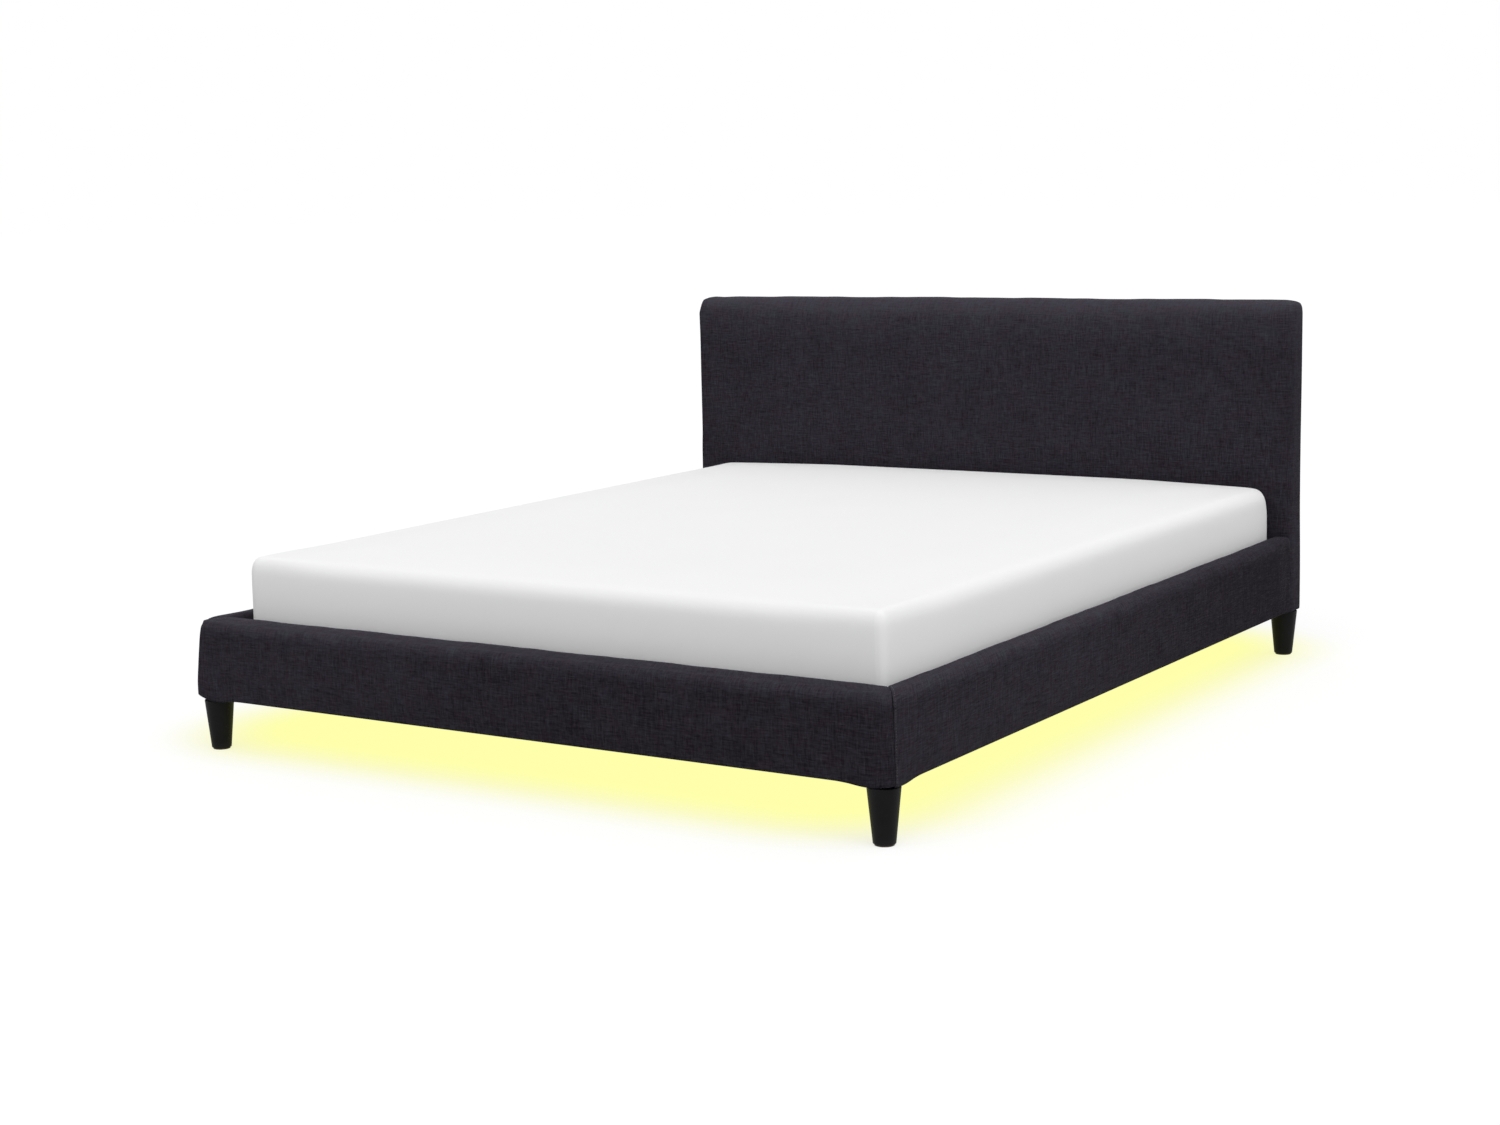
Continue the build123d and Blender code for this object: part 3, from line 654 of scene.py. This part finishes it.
def headboard_form(points):
    """Headboard in place, from its box: rolled edges, waisted sides, drawn-down hem, a face drawn back by
    head_tuck so that it can swell, the shallow recess for the back cloth, and a top that stands lower on
    the right and sags at its ends, above the wood alone."""
    s, t, z = points.T
    roll = ease(z, *head_roll_heights)
    corner = ease(np.abs(s), *head_corner_reach)
    late = ease(z, *head_corner_heights)
    end = head_side + (head_corner - head_side) * late
    front = hem_radius + (head_side - hem_radius) * corner
    front += (head_front_roll - front) * (roll * (1 - corner) + late * corner)
    back_roll = np.maximum(roll * (1 - corner), back_corner_share * corner)
    back = hem_radius + (head_back_roll - hem_radius) * back_roll
    depths = (0, head_front_roll, head_thickness - head_back_roll, head_thickness)
    top = np.interp(t, depths, (head_fall, head_corner, head_corner, head_back_roll))
    top = np.minimum(top, head_corner + (head_fall - head_corner) * ease(np.abs(s), *head_tight_reach))
    under = np.full_like(s, hem_radius)
    low, high = np.array([(-half_width, 0, hem), (half_width, head_thickness, head_top)])
    x, depth, z = rounded(points, low, high, spots(end, front, under), spots(end, back, top)).T
    share = np.clip((z - hem) / (head_top - hem), 0, 1)
    waist = np.sin(pi * np.minimum(share, waist_full_share)) * ease(share, *waist_shares)
    x = x * (1 - head_waist / half_width * waist)
    face = ease(depth, head_thickness / 2, 0) * ease(z, *tuck_heights)
    depth = depth + head_tuck * face * ease(z, head_top, head_top - 2 * head_fall)
    rim = np.minimum(back_cloth_high.x - np.abs(s), np.minimum(z - back_cloth_low.z, back_cloth_high.z - z))
    on_back = np.isclose(t, head_thickness)
    depth = depth - recess * on_back * ease(rim, -recess_edge / 2, recess_edge / 2)
    y = head_low.y + depth
    free = 1 - ease(z, hem, back_cloth_low.z)
    sag = head_lean * ease(x, *head_lean_run)
    sag += head_right_slump * ease(x, *right_slump_run)
    sag += head_left_slump * ease(-x, *left_slump_run)
    uneven = waver(x, head_waver, 4.0) * ease(share, head_waver_share, 1)
    drawn = z + (hem_line(x, y) - hem) * free + uneven
    drawn -= sag * ease(z, wood_top, head_top)
    return spots(x, y, drawn)


def headboard_loose(points):
    """How freely each point of the headboard swells: not on the back, the hem or behind the mattress."""
    s, t, z = points.T
    front = ease(t, *(head_thickness * share for share in head_loose_shares))
    return front * ease(z, *head_loose_heights) * ease(half_width - np.abs(s), *head_loose_end)


side_lines = edge_lines(head_side, head_corner)
front_lines = edge_lines(head_front_roll, hem_radius)
return_places = np.array([-recess_edge / 2, recess_edge / 2])
recess_x, recess_z = (
    np.concatenate([low + return_places, high + return_places])
    for low, high in ((back_cloth_low.x, back_cloth_high.x), (back_cloth_low.z, back_cloth_high.z))
)
head_points, head_quads, head_cloth = box_grid(
    grid_lines(-half_width, half_width, head_step, side_lines, side_lines, extra=recess_x),
    grid_lines(0, head_thickness, head_step, front_lines, edge_lines(head_back_roll)),
    grid_lines(hem, head_top, head_step, edge_lines(hem_radius), edge_lines(head_fall), extra=recess_z),
)
# Painted highlight over the headboard's upper part, stronger at the crest.
head_painted_highlight = head_highlight * ease(head_points[:, 2], *head_highlight_heights)
head_painted_highlight += crest_highlight * ease(head_points[:, 2], *crest_heights)
head_places = headboard_form(head_points)
headboard = cover_mesh(
    "headboard_fabric", head_places, head_quads, head_cloth + headboard_cut, head_painted_highlight, linen
)
swell(headboard, headboard_loose(head_points), head_swell)
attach(smoothed(headboard), "frame")
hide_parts("headboard_cover", "headboard_foam")

# Top-stitching: a row of short thread stitches on the rail's side of each mitre seam, across the roll and
# down the outer corner. It holds the seam's turned-in edges flat underneath.
stitch_offset = 0.008
stitch_pitch = 0.0056
stitch_size = (0.0040, 0.0008, 0.0006)
stitch_inside = 0.004
stitch_above_hem = 0.006
stitch_samples = 400
nudge = (0.001, 0, 0)
thread_dark = (0.035, 0.035, 0.043, 1)
thread_light = (0.070, 0.070, 0.082, 1)
thread_turns = 700


def sewing_thread():
    """Twisted polyester thread: a fine slanting ridge on the object's own coordinates."""
    finish, canvas, place = placed_finish("sewing_thread")
    twist = ((place.part("X") + place.part("Y") + place.part("Z")) * (tau * thread_turns)).math("SINE")
    sockets = {
        "Base Color": (twist * 0.5 + 0.5).between(thread_dark, thread_light),
        "Roughness": twist * 0.1 + 0.5,
        "Sheen Weight": 0.2,
        "Normal": twist.bump(0.4, 0.0001),
    }
    return closed(finish, canvas, sockets)


def bead(sides=6, rings=4):
    """A unit ellipsoid lying along X: rings of points at even turns between two poles."""
    turn = np.linspace(0, pi, rings + 1)[1:-1, None]
    around = np.arange(sides) * tau / sides
    x, y, z = np.cos(turn), np.sin(turn) * np.cos(around), np.sin(turn) * np.sin(around)
    points = np.concatenate([[(1, 0, 0)], spots(x, y, z).reshape(-1, 3), [(-1, 0, 0)]])
    here = np.arange(sides)
    there = (here + 1) % sides
    faces = [(0, 1 + a, 1 + b) for a, b in zip(here, there)]
    for row in range(rings - 2):
        base = 1 + row * sides
        faces += [(base + a, base + sides + a, base + sides + b, base + b) for a, b in zip(here, there)]
    last = 1 + (rings - 2) * sides
    faces += [(last + b, last + a, last + sides) for a, b in zip(here, there)]
    return points, faces


def row_of_beads(name, places, along, out, size, finish):
    """One mesh of equal small beads: at each place, one is turned so that its length follows along and
    its height follows out."""
    unit, faces = bead()
    along = along / np.linalg.norm(along, axis=1, keepdims=True)
    out = out / np.linalg.norm(out, axis=1, keepdims=True)
    side = np.cross(out, along)
    length, width, height = (0.5 * part for part in size)
    points = (
        places[:, None]
        + length * unit[None, :, :1] * along[:, None]
        + width * unit[None, :, 1:2] * side[:, None]
        + height * unit[None, :, 2:] * out[:, None]
    )
    whole = [tuple(k + len(unit) * number for k in face) for number in range(len(places)) for face in faces]
    piece = smooth_piece(name, points.reshape(-1, 3), whole, finish)
    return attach(piece, "frame")


def evenly(path, pitch):
    """Which fractions of a path's samples lie a pitch apart along it."""
    steps = np.linalg.norm(np.diff(path, axis=0), axis=1)
    travelled = np.concatenate([[0], np.cumsum(steps)])
    return np.interp(np.arange(pitch / 2, travelled[-1], pitch), travelled, np.arange(len(path)))


across_roll = np.linspace(rail_thickness - stitch_inside, 0, stitch_samples)
down_side = np.linspace(side_top, hem + stitch_above_hem, stitch_samples)
stitch_y = rail_low.y + stitch_offset
stitch_box = np.concatenate([spots(stitch_y, across_roll, side_top), spots(stitch_y, 0.0, down_side)])
stitch_path = rail_form(stitch_box)
beside = rail_form(stitch_box + nudge) - stitch_path
which = evenly(stitch_path, stitch_pitch)
ahead = np.gradient(stitch_path, axis=0)
outward = np.cross(beside, ahead)
outward *= np.sign(outward @ (1, 0, 1))[:, None]


def picked(values):
    """Values of the sampled stitch path at each stitch."""
    return np.stack([np.interp(which, np.arange(len(values)), values[:, k]) for k in range(3)], 1)


thread = sewing_thread()
for side, sign in (("right", 1), ("left", -1)):
    mirror = (sign, 1, 1)
    stitches = row_of_beads(
        f"seam_stitches_{side}",
        picked(stitch_path) * mirror,
        picked(ahead) * mirror,
        picked(outward) * mirror,
        stitch_size,
        thread,
    )

# Back of the headboard: a thin black non-woven cloth, stapled over the frame along the fabric's turned-in
# edge. It keeps the dust out and the inside hidden.
sheet_step = 0.02
sheet_inset = 0.0008
sheet_thickness = 0.0003
sheet_ripple = 0.00012
ripple_rise = 0.1
dot_pitch = 0.003
cloth_black = (0.010, 0.010, 0.011, 1)
cloth_grey = (0.026, 0.026, 0.028, 1)
staple_size = (0.011, 0.0012, 0.0007)
staple_pitch = 0.055
staple_margin = 0.006
staple_slant = 0.12
steel_bright = (0.62, 0.62, 0.64, 1)
steel_dull = (0.42, 0.42, 0.44, 1)


def bonded_cloth():
    """Spun-bonded cloth: a close grid of small pressed dots over loose fibres."""
    finish, canvas, place = placed_finish("bonded_cloth")
    across, up = ((place.part(axis) * (tau / dot_pitch)).math("SINE") for axis in "XZ")
    dots = across * up
    fibres = place.noise((0.0015, 1, 0.0015), 3.0)
    sockets = {
        "Base Color": (fibres * 2 + dots * 0.15 + 0.45).between(cloth_black, cloth_grey),
        "Roughness": fibres * 0.2 + 0.8,
        "Specular IOR Level": 0.3,
        "Normal": (dots.rise(0.2, 0.9) * -1 + fibres).bump(0.4, 0.0002),
    }
    return closed(finish, canvas, sockets)


def bright_steel():
    """Zinc-plated steel: crystal patches and fine scratches that change its gloss more than its colour."""
    finish, canvas, place = placed_finish("plated_steel")
    patches = place.noise(0.006, 3.0)
    scratches = place.noise((0.0006, 0.0006, 0.02), 2.0)
    sockets = {
        "Base Color": (patches * 2 + 0.5).between(steel_dull, steel_bright),
        "Metallic": 1.0,
        "Roughness": patches * 0.5 + scratches * 0.3 + 0.34,
        "Normal": scratches.bump(0.15, 0.0002),
    }
    return closed(finish, canvas, sockets)


sheet_width = back_cloth_high.x - back_cloth_low.x
sheet_height = back_cloth_high.z - back_cloth_low.z
columns = np.linspace(back_cloth_low.x, back_cloth_high.x, round(sheet_width / sheet_step) + 1)
rows = np.linspace(back_cloth_low.z, back_cloth_high.z, round(sheet_height / sheet_step) + 1)
sheet_x, sheet_z = np.meshgrid(columns, rows, indexing="ij")
sheet_rim = np.minimum(
    np.minimum(sheet_x - columns[0], columns[-1] - sheet_x), np.minimum(sheet_z - rows[0], rows[-1] - sheet_z)
)
sheet_y = back_cloth_high.y - sheet_inset + ease(sheet_rim, 0, ripple_rise) * (
    waver(sheet_x + 0.6 * sheet_z, sheet_ripple, 3.0) + waver(sheet_z - 0.3 * sheet_x, sheet_ripple, 5.0)
)
corner_index = np.arange(sheet_x.size).reshape(sheet_x.shape)
sheet_quads = np.stack(
    [corner_index[:-1, :-1], corner_index[:-1, 1:], corner_index[1:, 1:], corner_index[1:, :-1]], axis=-1
)
sheet_quads = sheet_quads.reshape(-1, 4).tolist()
sheet_places = spots(sheet_x, sheet_y, sheet_z).reshape(-1, 3)
back_sheet = smooth_piece("headboard_back_sheet", sheet_places, sheet_quads, bonded_cloth())
wall = back_sheet.modifiers.new("thickness", "SOLIDIFY")
wall.thickness = sheet_thickness
wall.offset = -1
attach(back_sheet, "frame")
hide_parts("headboard_back_cloth")

steel = bright_steel()
staple_x = np.arange(columns[0] + staple_margin, columns[-1], staple_pitch)
staple_z = np.arange(rows[0] + staple_margin, rows[-1], staple_pitch)
staple_y = back_cloth_high.y - sheet_inset
staple_places = np.concatenate(
    [spots(staple_x, staple_y, z) for z in (rows[0] + staple_margin, rows[-1] - staple_margin)]
    + [spots(x, staple_y, staple_z) for x in (columns[0] + staple_margin, columns[-1] - staple_margin)]
)
level = np.repeat([True, False], [2 * len(staple_x), 2 * len(staple_z)])
staple_along = np.where(level[:, None], (1.0, 0, staple_slant), (staple_slant, 0, 1.0))
staple_out = np.broadcast_to((0.0, 1.0, 0.0), staple_places.shape)
staples = row_of_beads("back_staples", staple_places, staple_along, staple_out, staple_size, steel)

# Inside the panels: particle board in the footboard, rails and headboard, and sawn pine posts and batten
# behind it, all covered by the foam and fabric.
board_pale = (0.50, 0.36, 0.21, 1)
board_dark = (0.22, 0.14, 0.07, 1)
pine_pale = (0.68, 0.47, 0.26, 1)
pine_dark = (0.42, 0.24, 0.11, 1)
chip_size = 0.007
ring_width = 0.009
ring_length = 0.45
pore_width = 0.0009
pore_length = 0.03


def dress(finish, *names):
    """Give CAD nodes a finish on their objects' own material slots."""
    for name in names:
        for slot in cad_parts[name].material_slots:
            slot.link = "OBJECT"
            slot.material = finish


def particle_board():
    """Pressed wood chips: cells of pale and dark chips, each a little raised."""
    finish, canvas, place = placed_finish("particle_board")
    chips = canvas.node(
        "ShaderNodeTexVoronoi", {"feature": "F1"}, {"Vector": place, "Scale": 1 / chip_size}, output="Color"
    )
    tone = canvas.node("ShaderNodeSeparateColor", {}, {"Color": chips})
    fine = place.noise(0.002, 3.0)
    sockets = {
        "Base Color": (tone * 0.7 + fine * 0.8 + 0.15).between(board_dark, board_pale),
        "Roughness": fine * 0.3 + 0.75,
        "Normal": (tone + fine).bump(0.3, 0.0003),
    }
    return closed(finish, canvas, sockets)


def sawn_wood(name, pale, dark, axis):
    """Sawn wood: growth rings stretched along the grain, fine pores in the same direction, and a slow
    drift of colour."""
    finish, canvas, place = placed_finish(name)
    ring_size = [ring_width] * 3
    ring_size[axis] = ring_length
    pore_size = [pore_width] * 3
    pore_size[axis] = pore_length
    rings = (place.noise(ring_size, 1.5) * 26).math("SINE") * 0.5 + 0.5
    pores = place.noise(pore_size, 2.0)
    drift = place.noise(0.13, 1.0)
    sockets = {
        "Base Color": (rings * 0.45 + pores * 0.9 + drift * 0.7 + 0.28).between(pale, dark),
        "Roughness": pores * 0.4 + 0.6,
        "Normal": (rings * 0.4 + pores).bump(0.3, 0.0004),
    }
    return closed(finish, canvas, sockets)


chipboard = particle_board()
dress(chipboard, "footboard_board", "rail_left_board", "rail_right_board", "headboard_panel")
dress(sawn_wood("pine_upright", pine_pale, pine_dark, 2), "headboard_post_left", "headboard_post_right")
dress(sawn_wood("pine_across", pine_pale, pine_dark, 0), "headboard_top_batten")

# Corner brackets of folded steel plate with a grey powder coat, and their plated bolts, screws and studs.
coat_grey = (0.17, 0.17, 0.18, 1)
coat_edge = (0.27, 0.27, 0.28, 1)
corners = [f"{end}_{side}" for end in ("front", "back") for side in ("left", "right")]


def powder_coat():
    """Grey powder coat: the close, shallow orange-peel of baked powder, with a slightly uneven gloss."""
    finish, canvas, place = placed_finish("powder_coat")
    peel = place.noise(0.0016, 2.0)
    handling = place.noise(0.05, 3.0)
    sockets = {
        "Base Color": (handling * 1.2 + peel * 0.3 + 0.4).between(coat_grey, coat_edge),
        "Roughness": handling * 0.3 + peel * 0.2 + 0.48,
        "Normal": peel.bump(0.3, 0.0002),
    }
    return closed(finish, canvas, sockets)


coated = powder_coat()
dress(coated, *(f"bracket_{corner}" for corner in corners))
dress(steel, "bracket_bolts_long", "bracket_bolts_short", "frame_screws", "slat_screws", "leg_studs")

# Slatted base: eleven sprung birch slats screwed down on two pine ledges along the rails.
birch_pale = (0.76, 0.60, 0.40, 1)
birch_dark = (0.55, 0.38, 0.21, 1)
slats = sorted(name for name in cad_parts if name.startswith("slat_") and name != "slat_screws")

dress(sawn_wood("birch_slats", birch_pale, birch_dark, 0), *slats)
dress(sawn_wood("pine_ledges", pine_pale, pine_dark, 1), "ledge_left", "ledge_right")

# Centre beam in its two hangers, with two support legs bolted under it, each on a plated threaded foot.
dress(coated, "centre_beam", "beam_hanger_front", "beam_hanger_back", "support_leg_front", "support_leg_back")
dress(steel, "support_leg_bolts", "levelling_foot_front", "levelling_foot_back")

# Legs: turned to a taper in hardwood and sprayed matt black, flush with the bed's outer faces, each on a
# brown felt glide.
leg_black = (0.0040, 0.0040, 0.0045, 1)
leg_worn = (0.0150, 0.0148, 0.0156, 1)
scuff_heights = (0.004, 0.020)
felt_dark = (0.045, 0.030, 0.020, 1)
felt_light = (0.120, 0.085, 0.060, 1)


def black_lacquer():
    """Matt black lacquer over turned wood: the open grain shows as fine upright dents, and the foot is
    rubbed a little paler near the floor."""
    finish, canvas, place = placed_finish("black_lacquer")
    pores = place.noise((0.0012, 0.0012, 0.03), 2.0)
    marks = place.noise((0.02, 0.02, 0.03), 3.0)
    scuffed = (1 - place.part("Z").rise(*scuff_heights)) * (marks + 0.5)
    sockets = {
        "Base Color": (scuffed * 0.7 + marks * 0.6 + pores * 0.4 + 0.15).between(leg_black, leg_worn),
        "Roughness": marks * 0.25 + pores * 0.2 + 0.52,
        "Specular IOR Level": 0.10,
        "Normal": pores.bump(0.25, 0.0002),
    }
    return closed(finish, canvas, sockets)


def felt():
    """Pressed felt: tangled fibres."""
    finish, canvas, place = placed_finish("felt")
    fibres = place.noise(0.0008, 4.0)
    sockets = {
        "Base Color": (fibres * 2 + 0.5).between(felt_dark, felt_light),
        "Roughness": fibres * 0.1 + 0.9,
        "Sheen Weight": 0.3,
        "Normal": fibres.bump(0.6, 0.0004),
    }
    return closed(finish, canvas, sockets)


dress(black_lacquer(), *(f"leg_{corner}" for corner in corners))
dress(felt(), "leg_glides")

# Light strips: rows of small diodes under soft milky sleeves, stuck low on the inner faces. The floor's
# finish shows their glow as painted light, and one weak broad lamp under the slats stands in for their
# light on the frame.
diode_pitch = 1 / 60
spot_edge = (0.08, 0.42)
strip_dim = (0.80, 0.62, 0.14, 1)
strip_bright = (1.0, 0.93, 0.42, 1)
sleeve_colour = (0.80, 0.74, 0.50, 1)
glow_colour = (1.0, 1.0, 0.04)
glow_power = 5
glow_height = 0.16
glow_inset = 0.05


def milky_sleeve():
    """Lit strip: the diodes show through the sleeve as bright spots at an even pitch along it."""
    finish, canvas, place = placed_finish("milky_sleeve")
    step = ((place.part("X") + place.part("Y")) * (1 / diode_pitch)).math("FRACT")
    spot = 1 - (step - 0.5).math("ABSOLUTE").rise(*spot_edge)
    sockets = {
        "Base Color": spot.between(sleeve_colour, white),
        "Roughness": spot * -0.1 + 0.45,
        "Emission Color": spot.between(strip_dim, strip_bright),
        "Emission Strength": 2.5,
    }
    return closed(finish, canvas, sockets)


dress(milky_sleeve(), "light_strip_left", "light_strip_right", "light_strip_foot")
glow = in_scene("under_bed_glow", bpy.data.lights.new("under_bed_glow", "AREA"))
strip_low, strip_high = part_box("light_strip_left")
glow.data.shape = "RECTANGLE"
glow.data.size = -2 * (strip_high.x + glow_inset)
glow.data.size_y = strip_high.y - strip_low.y
glow.data.energy = glow_power
glow.data.color = glow_colour
glow.location = (0, (strip_low.y + strip_high.y) / 2, glow_height)
glow.visible_camera = False
glow.visible_glossy = False

# Controller for the light: a small black box on the right rail with a push button underneath and a round
# low-voltage inlet at its head end.
case_black = (0.012, 0.012, 0.013, 1)
case_sheen = (0.024, 0.024, 0.026, 1)
button_pale = (0.60, 0.60, 0.60, 1)
button_white = (0.74, 0.74, 0.73, 1)


def moulded(name, dark, light, roughness, grain):
    """Moulded plastic: a fine spark-eroded grain and slight flow marks."""
    finish, canvas, place = placed_finish(name)
    pits = place.noise(grain, 2.0)
    flow = place.noise((0.03, 0.012, 0.012), 2.0)
    sockets = {
        "Base Color": (flow + pits * 0.6 + 0.5).between(dark, light),
        "Roughness": flow * 0.2 + pits * 0.2 + roughness,
        "Normal": pits.bump(0.3, 0.0001),
    }
    return closed(finish, canvas, sockets)


dress(moulded("case_plastic", case_black, case_sheen, 0.5, 0.0006), "controller_case")
dress(moulded("button_plastic", button_pale, button_white, 0.35, 0.0012), "controller_button")
dress(moulded("inlet_plastic", case_black, case_sheen, 0.3, 0.0010), "power_inlet")

# Mattress: a foam core in a plain white knitted cover, slightly crowned on top up to its head end, with full
# sides that lean in a little towards the top. It lies loose on the slats, against the right rail.
mattress_low, mattress_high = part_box("mattress_cover")
mattress_crown = 0.008
mattress_crown_run = 0.42
mattress_edge = 0.038
mattress_corner = 0.024
mattress_corner_run = (0.26, 0.08)
crown_share = 0.5
mattress_lean = 0.0015
mattress_tuck = 0.001
mattress_step = 0.022
mattress_swell = 0.004
mattress_held = (0.005, 0.05)
knit_white = (0.905, 0.905, 0.905, 1)
knit_shade = (0.845, 0.845, 0.85, 1)
knit_pitch = 0.0016
course_share = 0.8


def white_knit():
    """Fine weft knit: upright ribs of loops with a faint slub, on the cover's own cloth coordinates."""
    finish, canvas = new_finish("white_knit")
    cloth = canvas.node("ShaderNodeUVMap", {"uv_map": "cloth"})
    wales = (cloth.part("X") * (tau / knit_pitch)).math("SINE")
    courses = (cloth.part("Y") * (tau / (course_share * knit_pitch)) + wales * 1.2).math("SINE")
    slubs = cloth.noise((0.012, 0.0012, 1), 2.0)
    patches = cloth.noise((0.2, 0.2, 1), 1.0)
    sockets = {
        "Base Color": (wales * 0.05 + slubs * 0.4 + patches * 0.2 + 0.8).between(knit_shade, knit_white),
        "Roughness": slubs * 0.2 + 0.9,
        "Specular IOR Level": 0.2,
        "Sheen Weight": 0.05,
        "Normal": (wales * 0.5 + courses * 0.5 + slubs).bump(0.25, 0.0003),
    }
    return closed(finish, canvas, sockets)


mattress_middle = (mattress_low + mattress_high) / 2
half_mattress = np.array((mattress_high - mattress_low) / 2)[:2]
border_top = mattress_high.z - mattress_crown
tight_run = (0.2, -0.2)
tight_heights = (border_top - 0.02, border_top - 0.07)


def mattress_form(points):
    """Mattress in place, from its box: soft edges, corners tighter in plan, but not at the top of the head
    end, sides that lean in, and a crown that rises from each side and from the foot end as r(2 - r), and
    runs on over the head end."""
    half_x, half_y = half_mattress
    tight = np.maximum(ease(points[:, 1], *tight_run), ease(points[:, 2], *tight_heights))
    far, near = mattress_corner_run
    wide = [
        mattress_edge
        + (mattress_corner - mattress_edge) * tight * ease(np.abs(points[:, k]), half - far, half - near)
        for k, half in ((1, half_y), (0, half_x))
    ]
    radii = spots(*wide, mattress_edge)
    low, high = np.array([(-half_x, -half_y, mattress_low.z), (half_x, half_y, border_top)])
    x, y, z = rounded(points, low, high, radii, radii).T
    share = (z - mattress_low.z) / (border_top - mattress_low.z)
    rise_x, rise_y = (
        np.clip((half - mattress_edge - place) / mattress_crown_run, 0, 1)
        for place, half in ((np.abs(x), half_x), (-y, half_y))
    )
    crown = mattress_crown * rise_x * (2 - rise_x) * rise_y * (2 - rise_y) * ease(share, crown_share, 1)
    x = x * (1 - (mattress_tuck + mattress_lean * share) / half_x)
    y = y * (1 - mattress_tuck / half_y)
    return spots(x + mattress_middle.x, y + mattress_middle.y, z + crown)


plan_lines = edge_lines(mattress_edge, mattress_corner)
rim_lines = edge_lines(mattress_edge)
mattress_points, mattress_quads, mattress_cloth = box_grid(
    grid_lines(-half_mattress[0], half_mattress[0], mattress_step, plan_lines, plan_lines),
    grid_lines(-half_mattress[1], half_mattress[1], mattress_step, plan_lines, plan_lines),
    grid_lines(mattress_low.z, border_top, mattress_step, rim_lines, rim_lines),
)
above_base = mattress_points[:, 2] - mattress_low.z
mattress = cover_mesh(
    "mattress_knit",
    mattress_form(mattress_points),
    mattress_quads,
    mattress_cloth,
    np.zeros(len(mattress_points)),
    white_knit(),
)
swell(mattress, ease(above_base, *mattress_held), mattress_swell)
swollen = np.empty(len(mattress_points) * 3)
mattress.data.vertices.foreach_get("co", swollen)
swollen = np.clip(swollen.reshape(-1, 3), tuple(mattress_low), tuple(mattress_high))
mattress.data.vertices.foreach_set("co", swollen.ravel())
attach(smoothed(mattress), "mattress")
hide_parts("mattress_cover", "mattress_core")
